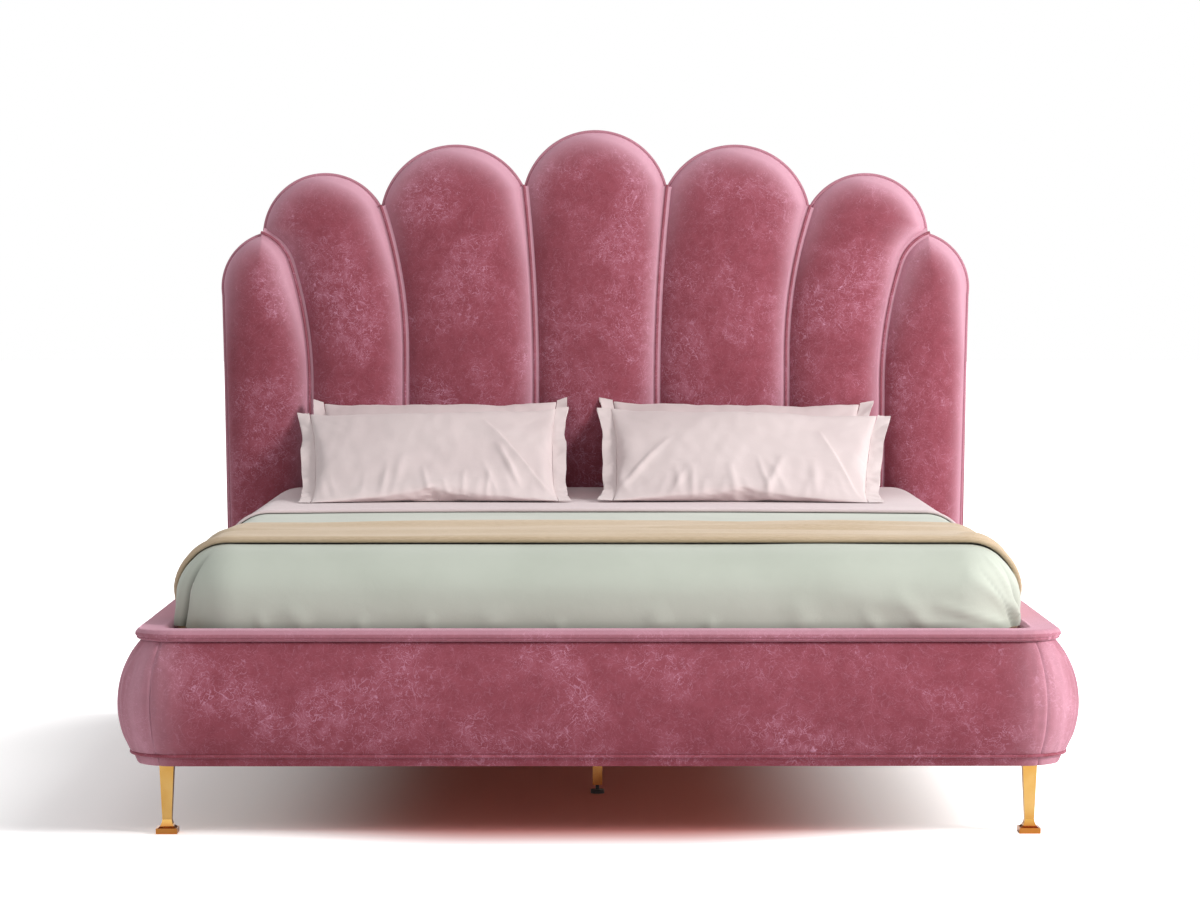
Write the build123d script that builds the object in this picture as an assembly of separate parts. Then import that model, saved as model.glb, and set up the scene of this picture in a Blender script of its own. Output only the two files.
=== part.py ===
from build123d import *
import os
from math import radians, sin

# Upholstered double bed: fluted, scalloped headboard, barrel-sided base on
# square tapered legs, mattress, bedding and four pillows. Millimetres, +Z up,
# +X to the right and the foot end towards -Y. The origin is on the floor,
# under the middle of the bed.

# Mattress and the room that it has in the frame
mattress_width = 1600
mattress_length = 2000
mattress_height = 210
mattress_above_rails = 165
mattress_corner_radius = 105
mattress_edge_radius = 80
mattress_under_radius = 30
side_clearance = 25
foot_clearance = 20
head_clearance = 10

# Thin running gap between soft pieces that lie on each other
seat_gap = 0.3

# Base: rail boards, corner blocks and their covers
leg_height = 138
rail_height = 232
rail_thickness = 25
block_depth = 73
corner_radius = 48
mount_plate_thickness = 3
pad_top_depth = 25
pad_bulge_depth = 69
pad_bulge_height = 132
pad_foot_depth = 43
band_foot_depth = 36
base_welt_radius = 3.5
base_welt_height = 18
rim_overhang = 32
rim_height = 24
rim_roll_radius = 11
corner_angle = 90
corner_seam_angle = 30

# Slatted support
slat_count = 14
slat_width = 60
slat_thickness = 12
slat_end_gap = 4
slat_to_rail_end = 60
cap_length = 42
cap_wall = 3
ledger_width = 30
ledger_height = 34
beam_width = 40
beam_height = 50
beam_end_gap = 3
hanger_thickness = 3
hanger_lip = 35

# Corner legs: square, tapered, with a flared foot
leg_top_width = 28
leg_waist_width = 18
leg_foot_width = 41
leg_flare_height = 27
leg_foot_height = 11
flare_width_shares = (1, 0.34, 0.12, 0)
flare_height_shares = (0, 0.25, 0.58, 1)
leg_offset_share = 0.5

# Centre legs with a screwed levelling foot
centre_leg_width = 20
centre_leg_from_end = 550
centre_plate_width = 60
leveller_travel = 10
leveller_pad_radius = 14
leveller_pad_height = 8
leveller_stem_radius = 4
leveller_stem_length = 34
leveller_bore_clearance = 0.4

# Headboard: outline, layers and flutes
headboard_half_width = 920
headboard_height = 1427
headboard_foot_half_share = 0.984
front_board_thickness = 15
batten_thickness = 34
back_board_thickness = 6
flute_depth = 60
edge_band_thickness = 6
edge_welt_width = 6.5
edge_welt_depth = 8
board_inset = 7
flute_margin = 7
flute_welt_radius = 5
flute_welt_end_gap = 28
flute_foot_gap = 3
stile_width = 65
stile_top_share = 0.7
upper_rail_height = 60
batten_edge_gap = 12
bolt_radius = 4
bolt_head_radius = 7
bolt_head_height = 5
bolt_hole_clearance = 0.4
bolt_height_shares = (0.28, 0.75)
bolt_spread_shares = (-0.72, 0.72)

# Places on the headboard as shares of its half width and of its height:
# the notches between the scallops, the crowns of the scallops, and the seams
notch_shares = ((0.191, 0.903), (0.573, 0.868), (0.890, 0.823))
crown_shares = ((0, 1), (0.376, 0.975), (0.729, 0.926))
shoulder_share = (1, 0.715)
shoulder_round_share = (0.967, 0.791)
seam_foot_shares = (0.162, 0.510, 0.765)
seam_bend_shares = (0.560, 0.617, 0.560)
outer_seam_turn_share = (0.815, 0.771)

# Crown of a flute: how far in from its edge, as a share of its half width,
# each level lies, and the share of the flute's depth that it reaches there
flute_inset_shares = (0, 0.035, 0.16, 0.38, 0.66)
flute_depth_shares = (0, 0.32, 0.66, 0.91, 1)

# Bedding
bedspread_thickness = 8
bedspread_tuck = 150
blanket_thickness = 6
blanket_length = 670
blanket_foot_inset = 80
blanket_tuck = 148
top_sheet_thickness = 8
top_sheet_start = 1000
top_sheet_tuck = 146
top_sheet_head_gap = 12

# Pillows: a stuffed body with a flat sewn flange at both ends
pillow_width = 680
pillow_height = 430
pillow_half_thickness = 58
pillow_flange = 48
pillow_flange_thickness = 6
pillow_side_draw = 9
pillow_corner_radius = 18
pillow_tilt = 24
pillow_inset_shares = (0, 0.07, 0.22, 0.45, 0.72)
pillow_rise_shares = (0, 0.38, 0.72, 0.93, 1)
left_pillow_x = -377
right_pillow_x = 339

# Heights and places that follow from the sizes above
base_bottom = leg_height
board_bottom = base_bottom + mount_plate_thickness
board_top = board_bottom + rail_height
rim_top = board_top + rim_height
mattress_top = board_top + mattress_above_rails
mattress_bottom = mattress_top - mattress_height
slat_bottom = mattress_bottom - slat_thickness
ledger_top = slat_bottom - cap_wall
inner_half_width = mattress_width / 2 + side_clearance
outer_half_width = inner_half_width + rail_thickness
headboard_depth = flute_depth + front_board_thickness + batten_thickness + back_board_thickness
overall_length = (pad_bulge_depth + rail_thickness + foot_clearance + mattress_length
                  + head_clearance + headboard_depth)
foot_outer_y = -overall_length / 2 + pad_bulge_depth
foot_inner_y = foot_outer_y + rail_thickness
mattress_foot_y = foot_inner_y + foot_clearance
mattress_head_y = mattress_foot_y + mattress_length
flute_crest_y = mattress_head_y + head_clearance
board_front_y = flute_crest_y + flute_depth
board_back_y = board_front_y + front_board_thickness
back_board_y = board_back_y + batten_thickness
back_y = back_board_y + back_board_thickness
head_rail_y = board_front_y - rail_thickness
corner_x = outer_half_width - corner_radius
corner_y = foot_outer_y + corner_radius
flute_foot = rim_top + flute_foot_gap


def block(x_span, y_span, z_span):
    """A box between two values on each axis."""
    size = (x_span[1] - x_span[0], y_span[1] - y_span[0], z_span[1] - z_span[0])
    corner = (Align.MIN, Align.MIN, Align.MIN)
    return Pos(x_span[0], y_span[0], z_span[0]) * Box(*size, align=corner)


def mirrored(shape):
    """The same piece on the other side of the bed."""
    return mirror(shape, about=Plane.YZ)


def save(name, shape):
    """Write one piece, or one group of like pieces, under its name."""
    solids = shape.solids()
    piece = solids[0] if len(solids) == 1 else Compound(children=list(solids))
    piece.label = name
    export_step(piece, os.path.join("parts", name + ".step"))


def save_pair(name, right_piece):
    """Write a piece of the right side and its mirror image on the left."""
    save("right_" + name, right_piece)
    save("left_" + name, mirrored(right_piece))


# Base covers are one section each, drawn from the upright axis of the foot
# corner: straight along the foot or a side, and turned about that axis.

def foot_run(section):
    """A section along the foot, and round both corners as far as the seam."""
    end = Plane(origin=(corner_x, corner_y, 0), x_dir=(0, -1, 0), z_dir=(-1, 0, 0))
    straight = extrude(end * section, amount=2 * corner_x)
    axis = Axis((corner_x, corner_y, 0), (0, 0, 1))
    turn = revolve(end * section, axis=axis, revolution_arc=corner_seam_angle)
    return straight + turn + mirrored(turn)


def side_run(section):
    """A section along the right side, and round the corner up to the seam."""
    head = Plane(origin=(corner_x, board_front_y, 0), x_dir=(1, 0, 0), z_dir=(0, -1, 0))
    straight = extrude(head * section, amount=board_front_y - corner_y)
    corner = Plane(origin=(corner_x, corner_y, 0), x_dir=(1, 0, 0), z_dir=(0, -1, 0))
    axis = Axis((corner_x, corner_y, 0), (0, 0, -1))
    turn = revolve(corner * section, axis=axis, revolution_arc=corner_angle - corner_seam_angle)
    return straight + turn


def pad_section():
    """Barrel-shaped side: bulging padding above a narrow plain band."""
    back = corner_radius
    welt_low = base_bottom + base_welt_height - base_welt_radius
    welt_high = base_bottom + base_welt_height + base_welt_radius
    foot = (back + band_foot_depth, base_bottom)
    low = (back + pad_foot_depth, welt_low)
    high = (back + pad_foot_depth, welt_high)
    bulge = (back + pad_bulge_depth, base_bottom + pad_bulge_height)
    top = (back + pad_top_depth, board_top)
    return make_face([
        Line((back, base_bottom), foot),
        Line(foot, low),
        Line(low, high),
        ThreePointArc(high, bulge, top),
        Line(top, (back, board_top)),
        Line((back, board_top), (back, base_bottom)),
    ])


def welt_section():
    """Round piping on the face of the pad, above the plain band."""
    centre = corner_radius + pad_foot_depth + base_welt_radius
    return Pos(centre, base_bottom + base_welt_height) * Circle(base_welt_radius)


def rim_section():
    """Flattened roll that caps the rail board and overhangs the pad."""
    width = rail_thickness + rim_overhang
    middle = corner_radius - rail_thickness + width / 2
    return Pos(middle, board_top + rim_height / 2) * RectangleRounded(width, rim_height, rim_roll_radius)


def save_base_covers():
    """Pads, rim rolls and lower piping on the foot and on both sides."""
    for name, section in (
        ("pad", pad_section()),
        ("rim_roll", rim_section()),
        ("base_welt", welt_section()),
    ):
        save("foot_" + name, foot_run(section))
        save_pair("side_" + name, side_run(section))


def corner_block():
    """Post of the foot corner: rounded outside, and notched round both rails."""
    x_span = (outer_half_width - block_depth, outer_half_width)
    y_span = (foot_outer_y, foot_outer_y + block_depth)
    post = block(x_span, y_span, (board_bottom, board_top))
    outer_edge = post.edges().filter_by(Axis.Z).sort_by(Axis.X)[-2:].sort_by(Axis.Y)[0]
    post = fillet(outer_edge, corner_radius)
    post -= block((inner_half_width, outer_half_width), (corner_y, y_span[1]), (board_bottom, board_top))
    post -= block((x_span[0], corner_x), (foot_outer_y, foot_inner_y), (board_bottom, board_top))
    post -= block(
        (x_span[0], corner_x),
        (foot_inner_y, y_span[1]),
        (ledger_top, board_top),
    )
    return post - block((corner_x, inner_half_width), (corner_y, y_span[1]), (ledger_top, board_top))


def head_block():
    """Post in the corner between a side rail and the head rail."""
    width = block_depth - rail_thickness
    return block(
        (inner_half_width - width, inner_half_width),
        (head_rail_y - width, head_rail_y),
        (board_bottom, ledger_top),
    )


def bolts_through(radius, y_span):
    """Cylinders at the four places where the headboard is bolted on."""
    places = [
        (spread * inner_half_width, board_bottom + height * rail_height)
        for spread in bolt_spread_shares
        for height in bolt_height_shares
    ]
    length = y_span[1] - y_span[0]
    return [
        Pos(x, (y_span[0] + y_span[1]) / 2, z) * Rot(90, 0, 0) * Cylinder(radius, length)
        for x, z in places
    ]


def save_rails():
    """Timber rails, the posts that join them, and the ledgers for the slats."""
    z_span = (board_bottom, board_top)
    save("foot_rail", block((-corner_x, corner_x), (foot_outer_y, foot_inner_y), z_span))
    save_pair("side_rail", block((inner_half_width, outer_half_width), (corner_y, board_front_y), z_span))
    head_rail = block((-inner_half_width, inner_half_width), (head_rail_y, board_front_y), z_span)
    for hole in bolts_through(bolt_radius + bolt_hole_clearance, (head_rail_y, board_front_y)):
        head_rail -= hole
    save("head_rail", head_rail)
    save_pair("front_corner_block", corner_block())
    save_pair("rear_corner_block", head_block())
    ledger = block(
        (inner_half_width - ledger_width, inner_half_width),
        (foot_outer_y + block_depth, head_rail_y - block_depth + rail_thickness),
        (ledger_top - ledger_height, ledger_top),
    )
    save_pair("ledger", ledger)


def slat_places():
    """Middle of each slat along the bed."""
    first = foot_inner_y + slat_to_rail_end
    pitch = (head_rail_y - slat_to_rail_end - first) / (slat_count - 1)
    return [first + pitch * index for index in range(slat_count)]


def save_slats():
    """Slats and the plastic caps that hold their ends on the ledgers."""
    end = inner_half_width - slat_end_gap
    slats = []
    caps = []
    for y in slat_places():
        slat_y = (y - slat_width / 2, y + slat_width / 2)
        slats.append(block((-end, end), slat_y, (slat_bottom, mattress_bottom)))
        cap_y = (slat_y[0] - cap_wall, slat_y[1] + cap_wall)
        cap = block((inner_half_width - cap_length, inner_half_width - seat_gap), cap_y,
                    (ledger_top, mattress_bottom))
        pocket = block((inner_half_width - cap_length - cap_wall, end), slat_y,
                       (slat_bottom, mattress_bottom + cap_wall))
        caps.append(cap - pocket)
    save("slats", Compound(children=slats))
    save_pair("slat_caps", Compound(children=caps))


def save_centre_beam():
    """Beam under the middle of the slats and the steel hangers at its ends."""
    y_span = (foot_inner_y + beam_end_gap, head_rail_y - beam_end_gap)
    z_span = (slat_bottom - beam_height, slat_bottom)
    half = beam_width / 2
    save("centre_beam", block((-half, half), y_span, z_span))
    outer = half + hanger_thickness
    for name, wall, inward in (("foot", foot_inner_y, 1), ("head", head_rail_y, -1)):
        far = wall + inward * (beam_end_gap + hanger_lip)
        shoe = block((-outer, outer), sorted((wall, far)), (z_span[0] - hanger_thickness, z_span[1]))
        near = wall + inward * beam_end_gap
        room = block((-half, half), sorted((near, far)), z_span)
        save(name + "_beam_hanger", shoe - room)


def square_loft(widths, heights):
    """A square bar through a row of widths at rising heights."""
    sections = [Pos(0, 0, z) * Rectangle(width, width) for width, z in zip(widths, heights)]
    return loft(sections)


def corner_leg():
    """Tapered square shaft that flares out into a flat square foot."""
    flare = [leg_waist_width + share * (leg_foot_width - leg_waist_width) for share in flare_width_shares]
    rise = leg_flare_height - leg_foot_height
    heights = [leg_foot_height + share * rise for share in flare_height_shares]
    foot = Box(leg_foot_width, leg_foot_width, leg_foot_height, align=(Align.CENTER, Align.CENTER, Align.MIN))
    shaft = square_loft((leg_waist_width, leg_top_width), (leg_flare_height, leg_height))
    return foot + square_loft(flare, heights) + shaft


def save_corner_legs():
    """Four legs, each with the plate by which it is screwed on."""
    offset = leg_offset_share * corner_radius
    foot_x = corner_x + offset
    foot_y = corner_y - offset
    plate_z = (leg_height, board_bottom)
    corner = block((corner_x, outer_half_width), (foot_outer_y, corner_y), plate_z)
    disc = Pos(corner_x, corner_y, leg_height) * Cylinder(
        corner_radius, mount_plate_thickness, align=(Align.CENTER, Align.CENTER, Align.MIN))
    save_pair("front_leg", Pos(foot_x, foot_y, 0) * corner_leg() + (corner & disc))
    head_y = board_front_y - corner_radius + offset
    plate = block(
        (outer_half_width - block_depth, outer_half_width),
        (board_front_y - block_depth, board_front_y),
        plate_z,
    )
    save_pair("rear_leg", Pos(foot_x, head_y, 0) * corner_leg() + plate)


def save_centre_legs():
    """Two square tubes under the beam, with levelling feet screwed in."""
    top = slat_bottom - beam_height
    bottom = leveller_pad_height + leveller_travel
    half = centre_leg_width / 2
    plate_half = centre_plate_width / 2
    bore_depth = leveller_stem_length
    for name, y in (
        ("front", foot_inner_y + centre_leg_from_end),
        ("rear", head_rail_y - centre_leg_from_end),
    ):
        tube = block((-half, half), (y - half, y + half), (bottom, top - mount_plate_thickness))
        tube += block(
            (-plate_half, plate_half), (y - plate_half, y + plate_half), (top - mount_plate_thickness, top))
        upward = (Align.CENTER, Align.CENTER, Align.MIN)
        bore = Cylinder(leveller_stem_radius + leveller_bore_clearance, bore_depth, align=upward)
        save(name + "_centre_leg", tube - Pos(0, y, bottom) * bore)
        foot = Cylinder(leveller_pad_radius, leveller_pad_height, align=upward)
        stem_length = leveller_stem_length - leveller_bore_clearance
        stem = Cylinder(leveller_stem_radius, stem_length, align=upward)
        save(name + "_levelling_foot", Pos(0, y, 0) * (foot + Pos(0, 0, leveller_pad_height) * stem))


# The headboard is drawn upright, as seen from the foot of the bed, and its
# layers are set out from the face of the front board.

def on_headboard(share):
    """A point of the headboard from its shares of half width and height."""
    return (share[0] * headboard_half_width, share[1] * headboard_height)


def flip(point):
    """The same point on the left."""
    return (-point[0], point[1])


def face_plane(y):
    """Upright plane across the bed whose normal points to the foot end."""
    return Plane(origin=(0, y, 0), x_dir=(1, 0, 0), z_dir=(0, -1, 0))


def half_outline(foot_z):
    """Right half of the scalloped edge, from its foot up to the top flute."""
    foot = (headboard_foot_half_share * headboard_half_width, foot_z)
    notches = [on_headboard(share) for share in notch_shares]
    crowns = [on_headboard(share) for share in crown_shares]
    shoulder = on_headboard(shoulder_share)
    return [
        Line(foot, shoulder),
        ThreePointArc(shoulder, on_headboard(shoulder_round_share), notches[-1]),
        *[
            ThreePointArc(notches[index], crowns[index], notches[index - 1])
            for index in range(len(notches) - 1, 0, -1)
        ],
    ]


def outline_face(inset):
    """The whole headboard as a flat shape, drawn in from its edge all round."""
    right = half_outline(board_bottom)
    left = [mirror(edge, about=Plane.YZ) for edge in right]
    foot = (headboard_foot_half_share * headboard_half_width, board_bottom)
    notch = on_headboard(notch_shares[0])
    top = ThreePointArc(notch, on_headboard(crown_shares[0]), flip(notch))
    whole = make_face([*right, top, *left, Line(foot, flip(foot))])
    if not inset:
        return whole
    return offset(whole, amount=-inset, kind=Kind.ARC)


def layer(inset, y_span):
    """A slab of the headboard's shape between two depths."""
    return extrude(face_plane(y_span[1]) * outline_face(inset), amount=y_span[1] - y_span[0])


def seam_curve(index):
    """Seam between two flutes on the right, from its foot up to the notch."""
    x = seam_foot_shares[index] * headboard_half_width
    bend = (x, seam_bend_shares[index] * headboard_height)
    notch = on_headboard(notch_shares[index])
    straight = Line((x, flute_foot), bend)
    if index < len(seam_foot_shares) - 1:
        return [straight, TangentArc(bend, notch, tangent=(0, 1))]
    turn = on_headboard(outer_seam_turn_share)
    lower = TangentArc(bend, turn, tangent=(0, 1))
    return [straight, lower, TangentArc(turn, notch, tangent=lower % 1)]


def flute_face(index):
    """Outline of one flute, counted outwards from the middle of the board."""
    if index == 0:
        right = seam_curve(0)
        left = [mirror(edge, about=Plane.YZ) for edge in right]
        notch = on_headboard(notch_shares[0])
        dome = [ThreePointArc(notch, on_headboard(crown_shares[0]), flip(notch))]
    elif index < len(seam_foot_shares):
        left = seam_curve(index - 1)
        right = seam_curve(index)
        dome = [ThreePointArc(
            on_headboard(notch_shares[index]),
            on_headboard(crown_shares[index]),
            on_headboard(notch_shares[index - 1]),
        )]
    else:
        left = seam_curve(index - 1)
        right = []
        dome = [Line((headboard_foot_half_share * headboard_half_width, flute_foot),
                     on_headboard(shoulder_share)), half_outline(board_bottom)[1]]
    low_left = left[0] @ 0
    low_right = right[0] @ 0 if right else dome[0] @ 0
    return make_face([*left, *right, *dome, Line(low_left, low_right)])


def flute_half_width(index):
    """Half the width of a flute low down, where its seams run straight."""
    edges = (-seam_foot_shares[0], *seam_foot_shares, headboard_foot_half_share)
    return (edges[index + 1] - edges[index]) * headboard_half_width / 2


def flute(index):
    """Padded channel with its crown, on the face of the front board."""
    outline = flute_face(index)
    half_width = flute_half_width(index)
    sections = []
    for inset_share, depth_share in zip(flute_inset_shares, flute_depth_shares):
        inset = flute_margin + inset_share * half_width
        level = offset(outline, amount=-inset, kind=Kind.TANGENT)
        sections.append(Pos(0, 0, depth_share * flute_depth) * level.face())
    return face_plane(board_front_y) * loft(sections)


def flute_welt(index):
    """Round piping laid in the seam between two flutes, short of the edge welt."""
    *lower, last = seam_curve(index)
    path = Wire([*lower, last.trim(0, 1 - flute_welt_end_gap / last.length)])
    start = Plane(origin=path @ 0, z_dir=path % 0)
    cord = sweep(start * Circle(flute_welt_radius), path=path)
    return face_plane(board_front_y) * Pos(0, 0, flute_welt_radius) * cord


def save_headboard():
    """Boards, battens, flutes, piping and edge band, front to back."""
    flute_count = len(seam_foot_shares) + 1
    for index in range(flute_count):
        pad = flute(index)
        save("headboard_flute_" + str(flute_count + index), pad)
        if index:
            save("headboard_flute_" + str(flute_count - index), mirrored(pad))
    welts = [flute_welt(index) for index in range(len(seam_foot_shares))]
    save("flute_welts", Compound(children=[*welts, *[mirrored(welt) for welt in welts]]))

    welt_y = (board_front_y - edge_welt_depth, board_front_y)
    edge_welt = layer(0, welt_y) - layer(edge_welt_width, welt_y)
    above_base = block((-headboard_half_width, headboard_half_width), welt_y, (flute_foot, headboard_height))
    save("headboard_edge_welt", edge_welt & above_base)
    band_y = (board_front_y, back_y)
    save("headboard_edge_band", layer(board_inset - edge_band_thickness, band_y) - layer(board_inset, band_y))

    edge_x = headboard_foot_half_share * headboard_half_width - board_inset - batten_edge_gap
    stile_x = (edge_x - stile_width, edge_x)
    batten_y = (board_back_y, back_board_y)
    front = layer(board_inset, (board_front_y, board_back_y))
    lower_rail = block((-stile_x[0], stile_x[0]), batten_y, (board_bottom + board_inset, board_top))
    for hole in bolts_through(bolt_radius + bolt_hole_clearance, (board_front_y, back_board_y)):
        front -= hole
        lower_rail -= hole
    save("headboard_front_board", front)
    save("headboard_lower_rail", lower_rail)
    save("headboard_back_board", layer(board_inset, (back_board_y, back_y)))

    stile_top = stile_top_share * headboard_height
    save_pair("headboard_stile", block(stile_x, batten_y, (board_bottom + board_inset, stile_top)))
    upper = block((-edge_x, edge_x), batten_y, (stile_top, stile_top + upper_rail_height))
    save("headboard_upper_rail", upper)

    bolts = bolts_through(bolt_radius, (head_rail_y, back_board_y))
    heads = bolts_through(bolt_head_radius, (head_rail_y - bolt_head_height, head_rail_y))
    save("headboard_bolts", Compound(children=[(shank + head).solid() for shank, head in zip(bolts, heads)]))


# Mattress and bedding lie on each other with a thin gap between the layers.

def mattress_form(grow, bottom):
    """The mattress, or the space of a cover that lies a little outside it."""
    width = mattress_width + 2 * grow
    length = mattress_length + 2 * grow
    plan = RectangleRounded(width, length, mattress_corner_radius + grow)
    top = mattress_top + grow
    middle_y = (mattress_foot_y + mattress_head_y) / 2
    form = Pos(0, middle_y, bottom) * extrude(plan, amount=top - bottom)
    return fillet(form.faces().sort_by(Axis.Z)[-1].edges(), mattress_edge_radius + grow)


def cover(under, thickness, tuck):
    """A cover over top and sides, from one distance outside the mattress."""
    bottom = mattress_top - tuck
    outside = mattress_form(under + thickness, bottom)
    inside = mattress_form(under, bottom)
    return outside - inside


def strip_of(shape, y_span):
    """The part of a cover that lies between two places along the bed."""
    reach = outer_half_width
    return shape & block((-reach, reach), y_span, (0, headboard_height))


def save_bedding():
    """Mattress, bedspread, blanket across the foot, and folded top sheet."""
    form = mattress_form(0, mattress_bottom)
    under_edges = form.faces().sort_by(Axis.Z)[0].edges()
    save("mattress", fillet(under_edges, mattress_under_radius))
    save("bedspread", cover(seat_gap, bedspread_thickness, bedspread_tuck))
    over_bedspread = seat_gap + bedspread_thickness + seat_gap
    blanket_foot = mattress_foot_y + blanket_foot_inset
    blanket = cover(over_bedspread, blanket_thickness, blanket_tuck)
    save("blanket", strip_of(blanket, (blanket_foot, blanket_foot + blanket_length)))
    sheet = cover(over_bedspread, top_sheet_thickness, top_sheet_tuck)
    sheet_y = (mattress_foot_y + top_sheet_start, mattress_head_y - top_sheet_head_gap)
    save("top_sheet", strip_of(sheet, sheet_y))


def drawn_in_rectangle(width, height):
    """A rectangle whose sides pull in a little between its corners."""
    x = width / 2
    y = height / 2
    corners = ((-x, -y), (x, -y), (x, y), (-x, y))
    draw = pillow_side_draw
    middles = ((0, draw - y), (x - draw, 0), (0, y - draw), (draw - x, 0))
    sides = [
        ThreePointArc(corners[index], middles[index], corners[(index + 1) % len(corners)])
        for index in range(len(corners))
    ]
    return make_face(sides)


def pillow():
    """Stuffed body with a crown on both faces, and a flat flange at each end."""
    flange = drawn_in_rectangle(pillow_width, pillow_height - 2 * pillow_side_draw)
    flange = fillet(flange.vertices(), pillow_corner_radius)
    body = drawn_in_rectangle(pillow_width - 2 * pillow_flange, pillow_height)
    levels = []
    for inset_share, rise_share in zip(pillow_inset_shares, pillow_rise_shares):
        inset = inset_share * pillow_height / 2
        level = offset(body, amount=-inset, kind=Kind.INTERSECTION).face() if inset else body
        levels.append(Pos(0, 0, rise_share * pillow_half_thickness) * level)
    crown = loft(levels)
    slab = extrude(Pos(0, 0, -pillow_flange_thickness / 2) * flange, amount=pillow_flange_thickness)
    return slab + crown + mirror(crown, about=Plane.XY)


def save_pillows():
    """Two leaning pillows on each side, the front one against the back one."""
    leaning = Rot(pillow_tilt, 0, 0) * pillow()
    box = leaning.bounding_box()
    top_of_sheet = mattress_top + seat_gap + bedspread_thickness + seat_gap + top_sheet_thickness
    z = top_of_sheet + seat_gap - box.min.Z
    back_pillow_y = flute_crest_y - seat_gap - box.max.Y
    pitch = (2 * pillow_half_thickness + seat_gap) / sin(radians(pillow_tilt))
    for side, x in (("left", left_pillow_x), ("right", right_pillow_x)):
        save(side + "_back_pillow", Pos(x, back_pillow_y, z) * leaning)
        save(side + "_front_pillow", Pos(x, back_pillow_y - pitch, z) * leaning)


def build():
    os.makedirs("parts", exist_ok=True)
    save_headboard()
    save_rails()
    save_base_covers()
    save_slats()
    save_centre_beam()
    save_corner_legs()
    save_centre_legs()
    save_bedding()
    save_pillows()


build()
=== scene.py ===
import math
import random

import bmesh
import bpy
import numpy as np
from mathutils import Matrix, Vector, noise


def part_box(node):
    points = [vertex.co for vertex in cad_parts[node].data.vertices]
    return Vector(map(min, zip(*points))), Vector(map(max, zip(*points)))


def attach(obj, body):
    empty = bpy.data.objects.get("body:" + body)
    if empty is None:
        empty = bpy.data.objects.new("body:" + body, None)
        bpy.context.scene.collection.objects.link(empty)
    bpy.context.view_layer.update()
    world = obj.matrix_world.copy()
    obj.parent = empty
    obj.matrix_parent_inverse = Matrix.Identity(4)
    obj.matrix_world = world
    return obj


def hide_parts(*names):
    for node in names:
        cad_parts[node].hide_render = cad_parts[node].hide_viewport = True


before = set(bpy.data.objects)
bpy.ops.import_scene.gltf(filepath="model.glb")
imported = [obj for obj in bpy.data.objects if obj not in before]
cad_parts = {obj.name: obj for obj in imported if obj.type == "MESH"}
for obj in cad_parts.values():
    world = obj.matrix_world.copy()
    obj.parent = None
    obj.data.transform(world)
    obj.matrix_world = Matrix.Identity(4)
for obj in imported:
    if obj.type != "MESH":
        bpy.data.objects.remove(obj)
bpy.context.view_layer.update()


# The base frame is planed softwood: rails, corner posts, ledgers and a centre
# beam, glued and screwed into a box. The same boards stiffen the headboard.

class Number:
    """An output of a node that adds, subtracts and multiplies as a number does."""

    def __init__(self, nodes, socket):
        self.nodes = nodes
        self.socket = socket

    def math(self, operation, first, second):
        return self.nodes.node("ShaderNodeMath", {"operation": operation}, {0: first, 1: second})

    def __add__(self, other):
        return self.math("ADD", self, other)

    def __radd__(self, other):
        return self.math("ADD", other, self)

    def __sub__(self, other):
        return self.math("SUBTRACT", self, other)

    def __rsub__(self, other):
        return self.math("SUBTRACT", other, self)

    def __mul__(self, other):
        return self.math("MULTIPLY", self, other)

    def __rmul__(self, other):
        return self.math("MULTIPLY", other, self)

    def __abs__(self):
        return self.math("ABSOLUTE", self, 0.0)


class Nodes:
    """A node tree under construction, with one method that adds any node."""

    def __init__(self, tree):
        self.tree = tree

    def node(self, kind, settings=None, values=None, output=0):
        made = self.tree.nodes.new(kind)
        for name, setting in (settings or {}).items():
            setattr(made, name, setting)
        for name, value in (values or {}).items():
            socket = made.inputs[name]
            if isinstance(value, Number):
                self.tree.links.new(value.socket, socket)
            elif socket.type == "RGBA":
                socket.default_value = (*value, 1)
            else:
                socket.default_value = value
        return Number(self, made.outputs[output]) if made.outputs else None


class Finish(Nodes):
    """A procedural finish on the coordinates of the whole bed, in metres."""

    def __init__(self, name):
        self.material = bpy.data.materials.new(name)
        self.material.use_nodes = True
        super().__init__(self.material.node_tree)
        self.tree.nodes.clear()
        self.place = self.node("ShaderNodeTexCoord", output="Object")

    def stretched(self, stretch):
        """Coordinates multiplied along each axis, so that a pattern runs longer or shorter there."""
        return self.node("ShaderNodeVectorMath", {"operation": "MULTIPLY"}, {0: self.place, 1: stretch})

    def cloud(self, scale, place=None, detail=3.0, distortion=0.0):
        values = {"Vector": place or self.place, "Scale": scale, "Detail": detail, "Distortion": distortion}
        return self.node("ShaderNodeTexNoise", {}, values)

    def rise(self, value, low, high):
        """0 below one value, 1 above another, and smooth between them."""
        values = {"Value": value, "From Min": low, "From Max": high}
        return self.node("ShaderNodeMapRange", {"interpolation_type": "SMOOTHSTEP"}, values)

    def mix(self, share, first, second):
        return self.node("ShaderNodeMix", {"data_type": "RGBA"}, {0: share, 6: first, 7: second}, output=2)

    def surface(self, values, relief=None, relief_height=0.0):
        if relief is not None:
            bump = self.node("ShaderNodeBump", {}, {"Height": relief, "Distance": relief_height})
            values = {**values, "Normal": bump}
        shader = self.node("ShaderNodeBsdfPrincipled", {}, values)
        self.node("ShaderNodeOutputMaterial", {}, {"Surface": shader})
        return self.material


def dress(material, *names):
    """Give a finish to pieces whose shape comes from the frame."""
    for name in names:
        for material_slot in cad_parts[name].material_slots:
            material_slot.material = material


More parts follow.
